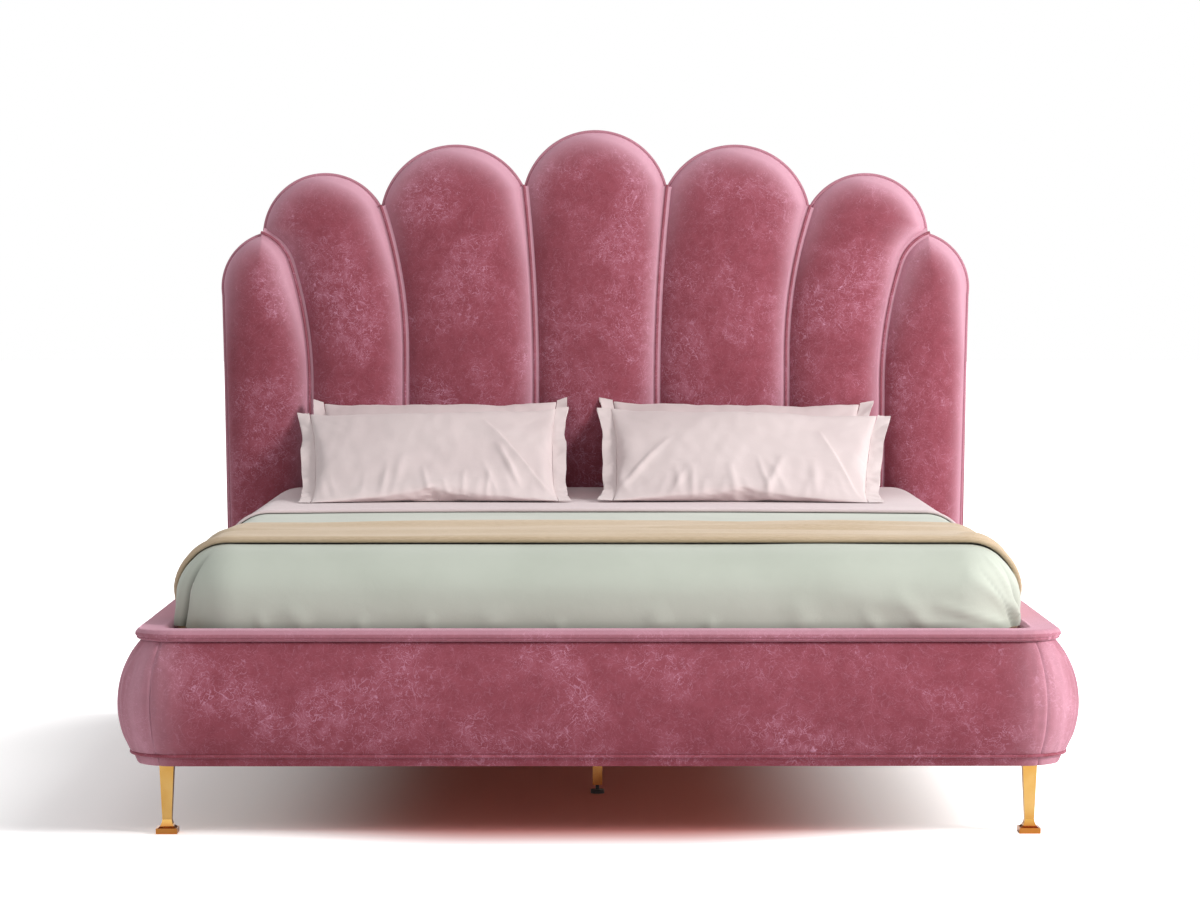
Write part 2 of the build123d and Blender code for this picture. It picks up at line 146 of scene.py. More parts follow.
def softwood(name, grain_axis):
    early_wood = (0.74, 0.55, 0.34)
    late_wood = (0.55, 0.36, 0.19)
    stretch = [26.0, 26.0, 26.0]
    stretch[grain_axis] = 1.4
    finish = Finish(name)
    along = finish.stretched(stretch)
    rings = finish.cloud(1.0, along, detail=4.0, distortion=0.7)
    fibre = finish.cloud(9.0, along, detail=2.0)
    colour = finish.mix(finish.rise(rings, 0.36, 0.62), late_wood, early_wood)
    colour = finish.mix(finish.rise(fibre, 0.3, 0.8) * 0.25, colour, early_wood)
    values = {"Base Color": colour, "Roughness": 0.5 + 0.25 * fibre}
    return finish.surface(values, fibre, 0.0004)


across_grain = softwood("softwood_across", 0)
along_grain = softwood("softwood_along", 1)
upright_grain = softwood("softwood_upright", 2)
dress(across_grain, "foot_rail", "head_rail", "headboard_lower_rail", "headboard_upper_rail")
dress(along_grain, "left_side_rail", "right_side_rail", "left_ledger", "right_ledger", "centre_beam")
dress(upright_grain, "left_headboard_stile", "right_headboard_stile", "left_front_corner_block",
      "right_front_corner_block", "left_rear_corner_block", "right_rear_corner_block")


# The slats are bent birch plywood, sprung across the bed in plastic caps, and
# the front board of the headboard is sawn from the same kind of sheet.

def birch_plywood(name, ply_axis):
    face_veneer = (0.83, 0.68, 0.48)
    dark_ply = (0.58, 0.40, 0.24)
    ply_thickness = 0.0014
    finish = Finish(name)
    figure = finish.cloud(1.0, finish.stretched((2.0, 22.0, 22.0)), detail=4.0, distortion=0.5)
    separate = finish.node("ShaderNodeSeparateXYZ", {}, {0: finish.place}, output=ply_axis)
    layer = finish.node("ShaderNodeMath", {"operation": "PINGPONG"}, {0: separate, 1: ply_thickness})
    sawn_edge = finish.rise(layer, 0.4 * ply_thickness, 0.6 * ply_thickness)
    colour = finish.mix(finish.rise(figure, 0.35, 0.7), face_veneer, (0.74, 0.57, 0.38))
    colour = finish.mix(sawn_edge * 0.35, colour, dark_ply)
    return finish.surface({"Base Color": colour, "Roughness": 0.42 + 0.2 * figure}, figure, 0.0002)


dress(birch_plywood("slat_birch", 2), "slats")
dress(birch_plywood("board_birch", 1), "headboard_front_board")


# Caps on the slat ends and the pads of the levelling feet are moulded black
# plastic, with the fine spark-eroded grain of the mould.

def moulded_plastic():
    finish = Finish("black_moulded_plastic")
    grain = finish.cloud(1400.0, detail=2.0)
    rub = finish.cloud(22.0, detail=3.0)
    colour = finish.mix(finish.rise(rub, 0.45, 0.75), (0.018, 0.018, 0.02), (0.05, 0.05, 0.052))
    return finish.surface({"Base Color": colour, "Roughness": 0.42 + 0.18 * rub}, grain, 0.00015)


dress(moulded_plastic(), "left_slat_caps", "right_slat_caps", "front_levelling_foot", "rear_levelling_foot")


# Beam hangers are folded from zinc-plated sheet, and four zinc-plated bolts
# hold the headboard to the head rail.

def zinc_plate():
    finish = Finish("zinc_plate")
    spangle = finish.cloud(140.0, detail=1.0)
    haze = finish.cloud(9.0)
    colour = finish.mix(finish.rise(spangle, 0.35, 0.7), (0.52, 0.53, 0.55), (0.72, 0.72, 0.70))
    values = {"Base Color": colour, "Metallic": 1.0, "Roughness": 0.26 + 0.3 * haze}
    return finish.surface(values, spangle, 0.00005)


dress(zinc_plate(), "foot_beam_hanger", "head_beam_hanger", "headboard_bolts")


# The legs are cast and polished in a warm gold: square, tapered, with a flared
# foot at the corners, and plain square tube under the middle of the bed.

def polished_gold():
    finish = Finish("polished_gold")
    breath = finish.cloud(14.0)
    polish = finish.cloud(1.0, finish.stretched((600.0, 600.0, 30.0)), detail=2.0)
    height = finish.node("ShaderNodeSeparateXYZ", {}, {0: finish.place}, output=2)
    colour = finish.mix(finish.rise(breath, 0.3, 0.75), (0.80, 0.43, 0.10), (0.90, 0.57, 0.19))
    # painted reflection of the shadowed floor: the gold turns darker and redder on the lowest 26 mm of every
    # leg
    colour = finish.mix(0.75 * finish.rise(height, 0.026, 0.012), colour, (0.62, 0.20, 0.035))
    values = {"Base Color": colour, "Metallic": 1.0, "Roughness": 0.10 + 0.12 * breath}
    return finish.surface(values, polish, 0.00002)


dress(polished_gold(), "left_front_leg", "right_front_leg", "left_rear_leg", "right_rear_leg",
      "front_centre_leg", "rear_centre_leg")


# The back board of the headboard is covered with a plain woven cloth in the
# velvet's colour, drawn tight and stapled under the edge band.

def woven_back_cloth():
    thread = 0.0011
    finish = Finish("woven_back_cloth")
    threads = []
    for axis in (0, 2):
        place = finish.node("ShaderNodeSeparateXYZ", {}, {0: finish.place}, output=axis)
        threads.append(finish.node("ShaderNodeMath", {"operation": "PINGPONG"}, {0: place, 1: thread}))
    weave = (threads[0] + threads[1]) * (0.5 / thread)
    slub = finish.cloud(60.0, detail=4.0)
    colour = finish.mix(finish.rise(slub, 0.3, 0.75), (0.30, 0.085, 0.115), (0.40, 0.135, 0.175))
    colour = finish.mix(weave * 0.3, colour, (0.22, 0.055, 0.08))
    values = {"Base Color": colour, "Roughness": 0.92, "Sheen Weight": 0.3, "Sheen Roughness": 0.5}
    return finish.surface(values, weave, 0.0005)


dress(woven_back_cloth(), "headboard_back_board")


# Seven padded flutes make the face of the headboard. Each is velvet drawn over
# foam on the front board, and its edges are pulled down into the seams.

headboard_half_width = 0.920
headboard_height = 1.427
headboard_foot_half_share = 0.984
notch_shares = ((0.191, 0.903), (0.573, 0.868), (0.890, 0.823))
crown_shares = ((0, 1), (0.376, 0.975), (0.729, 0.926))
shoulder_share = (1, 0.715)
shoulder_round_share = (0.967, 0.791)
seam_foot_shares = (0.162, 0.510, 0.765)
seam_bend_shares = (0.560, 0.617, 0.560)
outer_seam_turn_share = (0.815, 0.771)
middle_flute = 4
curve_steps = 60
board_front_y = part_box("headboard_flute_4")[1].y
flute_foot_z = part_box("headboard_flute_4")[0].z
flute_depth = 0.060
flute_margin = 0.0058
flute_crown = 2.15
flute_columns = 48
flute_rows = 76
dome_rows = 44
height_samples = 4000
narrowest_row = 0.002
row_smoothing = 6
depth_smoothings = 8
tip_rise = 0.0006
# painted sheen and light where the pile turns over an edge: width of the band on a side and more on a dome,
# how sharply it fades, and how strong it is everywhere, on a right side, on a dome and at most
painted_sheen_width, painted_sheen_dome_width, painted_sheen_fade = 0.017, 0.011, 1.2
painted_sheen_everywhere, painted_light_right, painted_sheen_dome, painted_sheen_most = 0.08, 0.72, 0.66, 0.80
dome_blend_below, dome_blend_height = 0.16, 0.20
crease_angle = 50


def on_headboard(share):
    return np.array((share[0] * headboard_half_width, share[1] * headboard_height))


def arc_through(start, middle, end, steps=curve_steps):
    """Points of the circle through three points, from the first to the last."""
    (ax, ay), (bx, by), (cx, cy) = start, middle, end
    sizes = [x * x + y * y for x, y in (start, middle, end)]
    area = 2 * (ax * (by - cy) + bx * (cy - ay) + cx * (ay - by))
    centre = np.array((
        (sizes[0] * (by - cy) + sizes[1] * (cy - ay) + sizes[2] * (ay - by)) / area,
        (sizes[0] * (cx - bx) + sizes[1] * (ax - cx) + sizes[2] * (bx - ax)) / area,
    ))
    spokes = [np.array(point) - centre for point in (start, middle, end)]
    angles = np.unwrap([math.atan2(spoke[1], spoke[0]) for spoke in spokes])
    turn = np.linspace(angles[0], angles[2], steps)
    return centre + np.hypot(*spokes[0]) * np.column_stack((np.cos(turn), np.sin(turn)))


def arc_from(start, heading, end, steps=curve_steps):
    """Points of the arc that leaves a point along a heading, and the heading (radians) at its end."""
    chord = np.array(end) - start
    bend = math.atan2(chord[1], chord[0]) - heading
    shares = np.linspace(0, 1, steps)
    reach = np.hypot(*chord) * np.sin(shares * bend) / math.sin(bend)
    turned = heading + shares * bend
    points = start + reach[:, None] * np.column_stack((np.cos(turned), np.sin(turned)))
    return points, heading + 2 * bend


def seam(index):
    """Seam on the right of the middle, from its foot up to the notch."""
    foot = np.array((seam_foot_shares[index] * headboard_half_width, flute_foot_z))
    bend = np.array((foot[0], seam_bend_shares[index] * headboard_height))
    notch = on_headboard(notch_shares[index])
    straight = np.linspace(foot, bend, curve_steps)
    if index < len(seam_foot_shares) - 1:
        return np.vstack((straight, arc_from(bend, math.pi / 2, notch)[0][1:]))
    lower, heading = arc_from(bend, math.pi / 2, on_headboard(outer_seam_turn_share))
    upper, heading = arc_from(lower[-1], heading, notch)
    return np.vstack((straight, lower[1:], upper[1:]))


def left_of(points):
    """The same points on the left half."""
    return points * np.array((-1, 1))


def dome(index):
    """Scalloped edge over one flute, from its outer end to its inner end."""
    if index == len(seam_foot_shares):
        ends = on_headboard(shoulder_share), on_headboard(notch_shares[-1])
        return arc_through(ends[0], on_headboard(shoulder_round_share), ends[1])
    outer = on_headboard(notch_shares[index])
    inner = on_headboard(notch_shares[index - 1]) if index else left_of(outer)
    return arc_through(outer, on_headboard(crown_shares[index]), inner)


def outer_side(index):
    """Right edge of a flute, below its dome."""
    if index < len(seam_foot_shares):
        return seam(index)
    foot = (headboard_foot_half_share * headboard_half_width, flute_foot_z)
    return np.linspace(foot, on_headboard(shoulder_share), curve_steps)


def inner_side(index):
    """Left edge of a flute, below its dome."""
    return seam(index - 1) if index else left_of(seam(0))


def drawn_in(points, distance, closed=False):
    """A line of points moved to the left of its own heading."""
    before = np.roll(points, 1, 0)
    after = np.roll(points, -1, 0)
    if not closed:
        before[0] = points[0]
        after[-1] = points[-1]
    heading = after - before
    heading /= np.hypot(heading[:, 0], heading[:, 1])[:, None]
    return points + distance * np.column_stack((-heading[:, 1], heading[:, 0]))


def distance_to(points, line):
    """Distance from each point to a line of joined points."""
    nearest = np.full(len(points), 1e9)
    for start, end in zip(line[:-1], line[1:]):
        step = end - start
        length = step @ step
        if length == 0:
            continue
        along = np.clip((points - start) @ step / length, 0, 1)
        gap = points - start - along[:, None] * step
        nearest = np.minimum(nearest, np.hypot(gap[:, 0], gap[:, 1]))
    return nearest


def mark_painted_light(mesh, turned):
    """Keep each point's share of painted light, which its colour follows: painted sheen and highlight on the
    velvet, painted shade on the cotton.
    """
    mesh.attributes.new("edge", "FLOAT", "POINT").data.foreach_set("value", turned)


def new_piece(name, points, faces, material, sharp_angle=crease_angle, edge=None):
    """A closed piece with its faces turned outwards, and its share of painted sheen and shade where it has one.
    """
    mesh = bpy.data.meshes.new(name)
    mesh.from_pydata(np.asarray(points).tolist(), [], faces)
    if edge is not None:
        turned = np.zeros(len(points), dtype=np.float32)
        turned[:edge.size] = edge.ravel()
        mark_painted_light(mesh, turned)
    shell = bmesh.new()
    shell.from_mesh(mesh)
    bmesh.ops.remove_doubles(shell, verts=shell.verts, dist=1e-6)
    bmesh.ops.dissolve_degenerate(shell, edges=shell.edges, dist=1e-7)
    bmesh.ops.recalc_face_normals(shell, faces=shell.faces)
    shell.to_mesh(mesh)
    shell.free()
    mesh.materials.append(material)
    mesh.shade_smooth()
    mesh.set_sharp_from_angle(angle=math.radians(sharp_angle))
    piece = bpy.data.objects.new(name, mesh)
    bpy.context.scene.collection.objects.link(piece)
    return piece


def grid_faces(rows, columns, first=0, wrap=False):
    """Quads of a grid of points that are counted row by row."""
    count = columns if wrap else columns - 1
    faces = []
    for row in range(rows - 1):
        for column in range(count):
            a = first + row * columns + column
            b = first + row * columns + (column + 1) % columns
            faces.append((a, b, b + columns, a + columns))
    return faces


def flute_mesh(index, side):
    """One flute, drawn on the right half: points, faces and each point's share of painted sheen and light."""
    outer, arc, inner = outer_side(index), dome(index), inner_side(index)
    loop = drawn_in(np.vstack((outer, arc[1:], inner[::-1][1:])), flute_margin)
    top = int(np.argmax(loop[:, 1]))
    sides = loop[top:][::-1], loop[:top + 1]
    foot_z = flute_foot_z + flute_margin

    def edge_x(side, z):
        return np.interp(z, np.maximum.accumulate(side[:, 1]), side[:, 0])

    levels = np.linspace(foot_z, loop[top, 1], height_samples)
    widths = edge_x(sides[1], levels) - edge_x(sides[0], levels)
    levels = levels[widths > narrowest_row]
    low_dome = min(arc[0][1], arc[-1][1])
    rows = np.linspace(foot_z, low_dome, flute_rows)
    climb = 1 - np.linspace(1, 0, dome_rows + 1)[1:] ** 2
    rows = np.append(rows, low_dome + (levels[-1] - low_dome) * climb)
    spread = 0.5 - 0.5 * np.cos(np.linspace(0, math.pi, flute_columns + 1))
    left, right = edge_x(sides[0], rows), edge_x(sides[1], rows)
    half = np.maximum.accumulate((right - left) / 2)
    window = 2 * row_smoothing + 1
    half = np.convolve(np.pad(half, row_smoothing, mode="edge"), np.ones(window) / window, mode="valid")
    x = left[:, None] + (right - left)[:, None] * spread
    z = np.repeat(rows[:, None], flute_columns + 1, 1)
    edge = np.vstack(([(left[0], foot_z)], np.column_stack((right, rows)),
                      np.column_stack((left, rows))[::-1]))
    inwards = distance_to(np.column_stack((x.ravel(), z.ravel())), edge).reshape(x.shape)
    share = np.clip(inwards / half[:, None], 0, 1)
    depth = (1 - (1 - share) ** flute_crown) ** (1 / flute_crown)
    for _ in range(depth_smoothings):
        depth[1:-1, 1:-1] = (2 * depth[1:-1, 1:-1] + depth[:-2, 1:-1] + depth[2:, 1:-1]) / 4
    y = board_front_y - flute_depth * depth
    points = np.column_stack((x.ravel(), y.ravel(), z.ravel()))
    faces = grid_faces(len(rows), flute_columns + 1)
    tip = len(points)
    points = np.vstack((points, (x[-1].mean(), board_front_y, rows[-1] + tip_rise)))
    last_row = (len(rows) - 1) * (flute_columns + 1)
    for column in range(flute_columns):
        faces.append((last_row + column, last_row + column + 1, tip))
    for row in range(1, len(rows) - 1):
        a = row * (flute_columns + 1)
        faces.append((a, a + flute_columns + 1, a + 2 * flute_columns + 1, a + flute_columns))
    faces.append((last_row, tip, last_row + flute_columns))
    foot_row = list(range(flute_columns + 1))
    faces.append(foot_row + [2 * flute_columns + 1, flute_columns + 1])
    # painted sheen along the flute's edges, wider towards its dome, and painted light on each flute's right
    # side, towards the lamps
    up_dome = np.clip((z - low_dome + dome_blend_below) / dome_blend_height, 0, 1)
    aside = side * (x - (left + right)[:, None] / 2) / half[:, None]
    to_right = 0.5 + 0.5 * np.tanh(4 * aside)
    turned = np.exp(-(inwards / (painted_sheen_width + painted_sheen_dome_width * up_dome)) ** painted_sheen_fade)
    turned *= painted_sheen_everywhere + painted_light_right * to_right + painted_sheen_dome * up_dome
    return points, faces, np.minimum(turned, painted_sheen_most)


def crushed_velvet():
    """Velvet whose pile lies in soft patches, with fine pale hairs, and painted sheen where a piece's edge
    share is set.
    """
    deep = (0.224, 0.0445, 0.062)
    full = (0.345, 0.084, 0.116)
    # the pale pink of painted sheen and painted highlights
    turned = (0.74, 0.42, 0.52)
    pale = (0.66, 0.33, 0.46)
    # scale, width and shift of each layer of hairs
    hair_layers = ((15.0, 0.0075, 0.0), (24.0, 0.010, 3.1), (39.0, 0.013, 7.7), (58.0, 0.016, 5.3))
    finish = Finish("dusty_rose_velvet")
    patches = finish.cloud(6.2, detail=3.0, distortion=0.4)
    mottle = finish.cloud(42.0, detail=7.0)
    pile = finish.cloud(900.0, detail=2.0)
    hairs = None
    for scale, width, shift in hair_layers:
        place = finish.node("ShaderNodeVectorMath", {"operation": "ADD"}, {0: finish.place, 1: (shift,) * 3})
        line = finish.cloud(scale, place, detail=2.0, distortion=1.5)
        hair = 1.0 - finish.rise(abs(line - 0.5), 0.0, width)
        hairs = hair if hairs is None else hairs + hair
    # each point's share of painted sheen and painted highlight
    edge = finish.node("ShaderNodeAttribute", {"attribute_name": "edge"}, output="Fac")
    brushed = finish.rise(patches, 0.42, 0.68)
    fuller = 0.20 + 0.30 * finish.rise(mottle, 0.30, 0.70) + 0.35 * finish.rise(patches, 0.30, 0.70)
    colour = finish.mix(fuller, deep, full)
    colour = finish.mix(brushed * finish.rise(mottle, 0.40, 0.70) * 0.16, colour, pale)
    colour = finish.mix(hairs * (0.12 + 0.36 * brushed), colour, pale)
    colour = finish.mix(edge, colour, turned)
    values = {
        "Base Color": colour, "Roughness": 0.80 + 0.15 * mottle, "Specular IOR Level": 0.2,
        "Sheen Weight": 0.9, "Sheen Roughness": 0.34, "Sheen Tint": (1.0, 0.62, 0.76),
    }
    return finish.surface(values, mottle * 0.7 + pile * 0.3, 0.0008)


velvet = crushed_velvet()
for index in range(len(seam_foot_shares) + 1):
    for side in ((1, -1) if index else (1,)):
        points, faces, turned = flute_mesh(index, side)
        number = middle_flute + side * index
        points *= np.array((side, 1, 1))
        # edge: the flute's share of painted sheen and light
        flute = new_piece(f"velvet_flute_{number}", points, faces, velvet, edge=turned)
        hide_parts(f"headboard_flute_{number}")
        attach(flute, "bed")


# Piping is a cord in a bias strip of the same velvet. It lies between its two
# flanges in each seam of the flutes, and follows the scalloped edge of the face.

seam_piping_radius = 0.0035
seam_piping_proud = 0.0182
seam_piping_tip = 0.004
seam_flange_half_width = 0.0125
seam_flange_depth = 0.0172
edge_piping_radius = 0.0038
# share of painted sheen on the seam cords, of painted highlight on their flanges, and of painted sheen on the
# edge cord
painted_cord_sheen, painted_flange_highlight, painted_edge_cord_sheen = 0.10, 0.85, 0.42
cord_sides = 14


def new_pattern(name, inputs):
    """A geometry tree with a geometry input, named inputs, and their identifiers."""
    tree = bpy.data.node_groups.new(name, "GeometryNodeTree")
    tree.interface.new_socket("Geometry", in_out="INPUT", socket_type="NodeSocketGeometry")
    found = {}
    for title, kind in inputs:
        found[title] = tree.interface.new_socket(title, in_out="INPUT", socket_type=kind).identifier
    tree.interface.new_socket("Geometry", in_out="OUTPUT", socket_type="NodeSocketGeometry")
    return Nodes(tree), found


cord_nodes, cord_inputs = new_pattern("round_cord_on_a_line", (
    ("Radius", "NodeSocketFloat"), ("Material", "NodeSocketMaterial")))
path_in = cord_nodes.node("NodeGroupInput", output="Geometry")
radius_in = cord_nodes.node("NodeGroupInput", output="Radius")
material_in = cord_nodes.node("NodeGroupInput", output="Material")
path = cord_nodes.node("GeometryNodeMeshToCurve", {}, {"Mesh": path_in})
ring = cord_nodes.node("GeometryNodeCurvePrimitiveCircle", {}, {"Resolution": cord_sides, "Radius": radius_in})
tube = cord_nodes.node("GeometryNodeCurveToMesh", {}, {"Curve": path, "Profile Curve": ring, "Fill Caps": True})
tube = cord_nodes.node("GeometryNodeRealizeInstances", {}, {"Geometry": tube})
tube = cord_nodes.node("GeometryNodeSetMaterial", {}, {"Geometry": tube, "Material": material_in})
cord_nodes.node("NodeGroupOutput", {}, {"Geometry": tube})


def grown(name, lines, nodes, inputs, values):
    """A plain mesh that a geometry tree grows on lines of points."""
    points, edges = [], []
    for line in lines:
        first = len(points)
        points.extend(np.asarray(line).tolist())
        edges.extend((first + step, first + step + 1) for step in range(len(line) - 1))
    mesh = bpy.data.meshes.new(name + "_line")
    mesh.from_pydata(points, edges, [])
    piece = bpy.data.objects.new(name, mesh)
    bpy.context.scene.collection.objects.link(piece)
    modifier = piece.modifiers.new("grow", "NODES")
    modifier.node_group = nodes.tree
    for title, value in values.items():
        modifier[inputs[title]] = value
    bpy.context.view_layer.update()
    evaluated = piece.evaluated_get(bpy.context.evaluated_depsgraph_get())
    piece_mesh = bpy.data.meshes.new_from_object(evaluated)
    piece.modifiers.remove(modifier)
    piece.data = piece_mesh
    piece_mesh.name = name
    shell = bmesh.new()
    shell.from_mesh(piece_mesh)
    bmesh.ops.recalc_face_normals(shell, faces=shell.faces)
    shell.to_mesh(piece_mesh)
    shell.free()
    piece_mesh.shade_smooth()
    piece_mesh.set_sharp_from_angle(angle=math.radians(crease_angle))
    return piece


def upright(points, y):
    """Points of the headboard's face at one depth of the bed."""
    return np.column_stack((points[:, 0], np.full(len(points), y), points[:, 1]))


def scalloped_edge(foot_z, inset):
    """The whole edge of the headboard, from the right foot over to the left one."""
    foot = (headboard_foot_half_share * headboard_half_width, foot_z)
    parts = [np.linspace(foot, on_headboard(shoulder_share), curve_steps)]
    for index in range(len(seam_foot_shares), 0, -1):
        parts.append(dome(index)[1:])
    right = np.vstack(parts)
    line = np.vstack((right, dome(0)[1:-1], left_of(right)[::-1]))
    return drawn_in(line, inset)


def ribbon(line, half_width, front_y, back_y):
    """A flat strip of cloth behind a line of the headboard's face: points and faces."""
    sides = drawn_in(line, half_width), drawn_in(line, -half_width)
    corners = [upright(sides[0], front_y), upright(sides[1], front_y),
               upright(sides[1], back_y), upright(sides[0], back_y)]
    count = len(corners)
    last = (len(line) - 1) * count
    faces = grid_faces(len(line), count, wrap=True)
    faces += [tuple(range(count)), tuple(range(last, last + count))]
    return np.stack(corners, 1).reshape(-1, 3), faces


def add_shell(piece, points, faces):
    """Another closed shell in the mesh of a piece."""
    shell = bmesh.new()
    shell.from_mesh(piece.data)
    added = [shell.verts.new(point) for point in points.tolist()]
    for face in faces:
        shell.faces.new([added[index] for index in face])
    bmesh.ops.recalc_face_normals(shell, faces=shell.faces)
    shell.to_mesh(piece.data)
    shell.free()


seam_lines, seam_flanges = [], []
for index in range(len(seam_foot_shares)):
    line = seam(index)
    heading = (line[-1] - line[-2]) / np.hypot(*(line[-1] - line[-2]))
    cord = np.vstack((line[:-1], line[-1] + seam_piping_tip * heading))
    for mirror in (np.copy, left_of):
        seam_lines.append(upright(mirror(cord), board_front_y - seam_piping_proud))
        seam_flanges.append(ribbon(mirror(line), seam_flange_half_width,
                                   board_front_y - seam_flange_depth, board_front_y))
seam_piping = grown("seam_piping", seam_lines, cord_nodes, cord_inputs,
                    {"Radius": seam_piping_radius, "Material": velvet})
# painted sheen on the seam cords and painted highlight on their flanges
turned = [painted_cord_sheen] * len(seam_piping.data.vertices)
for points, faces in seam_flanges:
    add_shell(seam_piping, points, faces)
    turned += [painted_flange_highlight] * len(points)
mark_painted_light(seam_piping.data, turned)
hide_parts("flute_welts")
edge_line = upright(scalloped_edge(flute_foot_z, edge_piping_radius), board_front_y - edge_piping_radius)
edge_piping = grown("edge_piping", [edge_line], cord_nodes, cord_inputs,
                    {"Radius": edge_piping_radius, "Material": velvet})
# painted sheen on the edge cord
mark_painted_light(edge_piping.data, [painted_edge_cord_sheen] * len(edge_piping.data.vertices))
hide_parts("headboard_edge_welt")
for piping in (seam_piping, edge_piping):
    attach(piping, "bed")


# A band of velvet over thin wadding closes the edge of the headboard between
# the piping and the back cloth, tacked along both of its edges.

band_low, band_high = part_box("headboard_edge_band")
band_face_inset = 0.0008
band_back_inset = 0.0068
band_corner = 0.003
band_swell = 0.0006
band_outline = scalloped_edge(band_low.z, 0.0)
band_sections = [
    # inset from the scalloped edge, place along the bed
    (band_back_inset, band_low.y), (band_face_inset + band_corner, band_low.y),
    (band_face_inset, band_low.y + band_corner),
    (band_face_inset - band_swell, (band_low.y + band_high.y) / 2),
    (band_face_inset, band_high.y - band_corner), (band_face_inset + band_corner, band_high.y),
    (band_back_inset, band_high.y),
]
band_rows = []
for inset, y in band_sections:
    ring_line = drawn_in(np.vstack((band_outline, [(0, band_low.z)])), inset, closed=True)
    ring_line[:, 1] = np.maximum(ring_line[:, 1], band_low.z + inset)
    band_rows.append(upright(ring_line, y))
band_count = len(band_rows[0])
band_points = np.vstack(band_rows)
band_faces = grid_faces(len(band_rows), band_count, wrap=True)
last = (len(band_rows) - 1) * band_count
band_faces += [(column, (column + 1) % band_count, last + (column + 1) % band_count, last + column)
               for column in range(band_count)]
edge_band = new_piece("velvet_edge_band", band_points, band_faces, velvet)
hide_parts("headboard_edge_band")
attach(edge_band, "bed")


# The base is padded on the foot and both sides: velvet over a barrel of foam,
# sewn with an upright seam on each foot corner, and pulled under the rails.

corner_radius = 0.048
corner_seam = math.radians(24)
base_bottom, board_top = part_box("foot_pad")[0].z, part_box("foot_pad")[1].z
bulge_depth, bulge_height = 0.0715, 0.132
pad_top_depth, pad_foot_depth, band_foot_depth = 0.025, 0.043, 0.036
piping_height, base_piping_radius = 0.018, 0.0035
barrel_over_piping, barrel_above_piping = 0.0052, 0.0004
piping_groove_lip, piping_groove_depth, groove_below_piping = 0.0022, 0.0030, 0.001
hem_inset, hem_drop, hem_swell, hem_height = 0.002, 0.0025, 0.003, 0.008
barrel_steps = 46
foam_wave, corner_ripple = 0.0014, 0.0016
seam_tuck_depth, seam_tuck_width = 0.0032, 0.0030
foot_face_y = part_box("foot_rail")[0].y
side_face_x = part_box("right_side_rail")[1].x
corner_x, corner_y = side_face_x - corner_radius, foot_face_y + corner_radius
run_step = 0.009
turn_step = math.radians(1.5)


def foot_run():
    """Stations along the foot, from the left corner seam to the right one."""
    count = math.ceil(corner_seam / turn_step)
    turn = np.linspace(0, corner_seam, count + 1)
    straight = np.linspace(-corner_x, corner_x, math.ceil(2 * corner_x / run_step) + 1)
    left = [(-corner_x, corner_y, -math.sin(a), -math.cos(a)) for a in turn[::-1]]
    right = [(corner_x, corner_y, math.sin(a), -math.cos(a)) for a in turn]
    return np.array(left + [(x, corner_y, 0, -1) for x in straight[1:-1]] + right)


def side_run():
    """Stations along the right side, from the corner seam to the headboard."""
    count = math.ceil((math.pi / 2 - corner_seam) / turn_step)
    turn = np.linspace(corner_seam, math.pi / 2, count + 1)
    length = board_front_y - corner_y
    straight = np.linspace(corner_y, board_front_y, math.ceil(length / run_step) + 1)
    round_corner = [(corner_x, corner_y, math.sin(a), -math.cos(a)) for a in turn]
    return np.array(round_corner + [(corner_x, y, 1, 0) for y in straight[1:]])


def swept(stations, section, relief=None):
    """A section of (distance from the rail face, height) drawn along stations."""
    reach = corner_radius + section[:, 0]
    points = np.empty((len(stations), len(section), 3))
    points[..., 0] = stations[:, None, 0] + stations[:, None, 2] * reach
    points[..., 1] = stations[:, None, 1] + stations[:, None, 3] * reach
    points[..., 2] = section[:, 1]
    if relief is not None:
        push = relief(points, stations, section)
        points[..., 0] += stations[:, None, 2] * push
        points[..., 1] += stations[:, None, 3] * push
    count = len(section)
    faces = grid_faces(len(stations), count, wrap=True)
    faces.append(list(range(count)))
    faces.append(list(range((len(stations) - 1) * count, len(stations) * count)))
    return points.reshape(-1, 3), faces


def soft_noise(points, size, seed):
    """Smooth noise from -1 to 1 at each point, for a given size of wave."""
    shape = points.shape[:-1]
    flat = points.reshape(-1, 3) / np.asarray(size)
    return np.array([noise.noise(Vector(p) + Vector((seed, 0, 0))) for p in flat.tolist()]).reshape(shape)


def pad_section():
    """Outline of the padding from its lower back corner, round its face, to its upper one."""
    high = base_bottom + piping_height + base_piping_radius
    low = base_bottom + piping_height - base_piping_radius
    barrel = arc_through((pad_foot_depth + barrel_over_piping, high + barrel_above_piping),
                         (bulge_depth, base_bottom + bulge_height), (pad_top_depth, board_top), barrel_steps)
    groove = [(pad_foot_depth - piping_groove_lip, low - groove_below_piping),
              (pad_foot_depth - piping_groove_depth, (low + high) / 2)]
    hem = [(0, base_bottom), (band_foot_depth - hem_inset, base_bottom - hem_drop),
           (band_foot_depth, base_bottom), (band_foot_depth + hem_swell, base_bottom + hem_height)]
    return np.array(hem + groove + barrel.tolist() + [(0, board_top)])


def on_corner(stations):
    """How squarely each station lies on a round corner, from 0 on a straight side."""
    return np.abs(stations[:, 2] * stations[:, 3])


def seam_rows(stations):
    """The ends of a run that lie in a corner seam."""
    return [row for row in (0, -1) if on_corner(stations)[row] > 0.1]


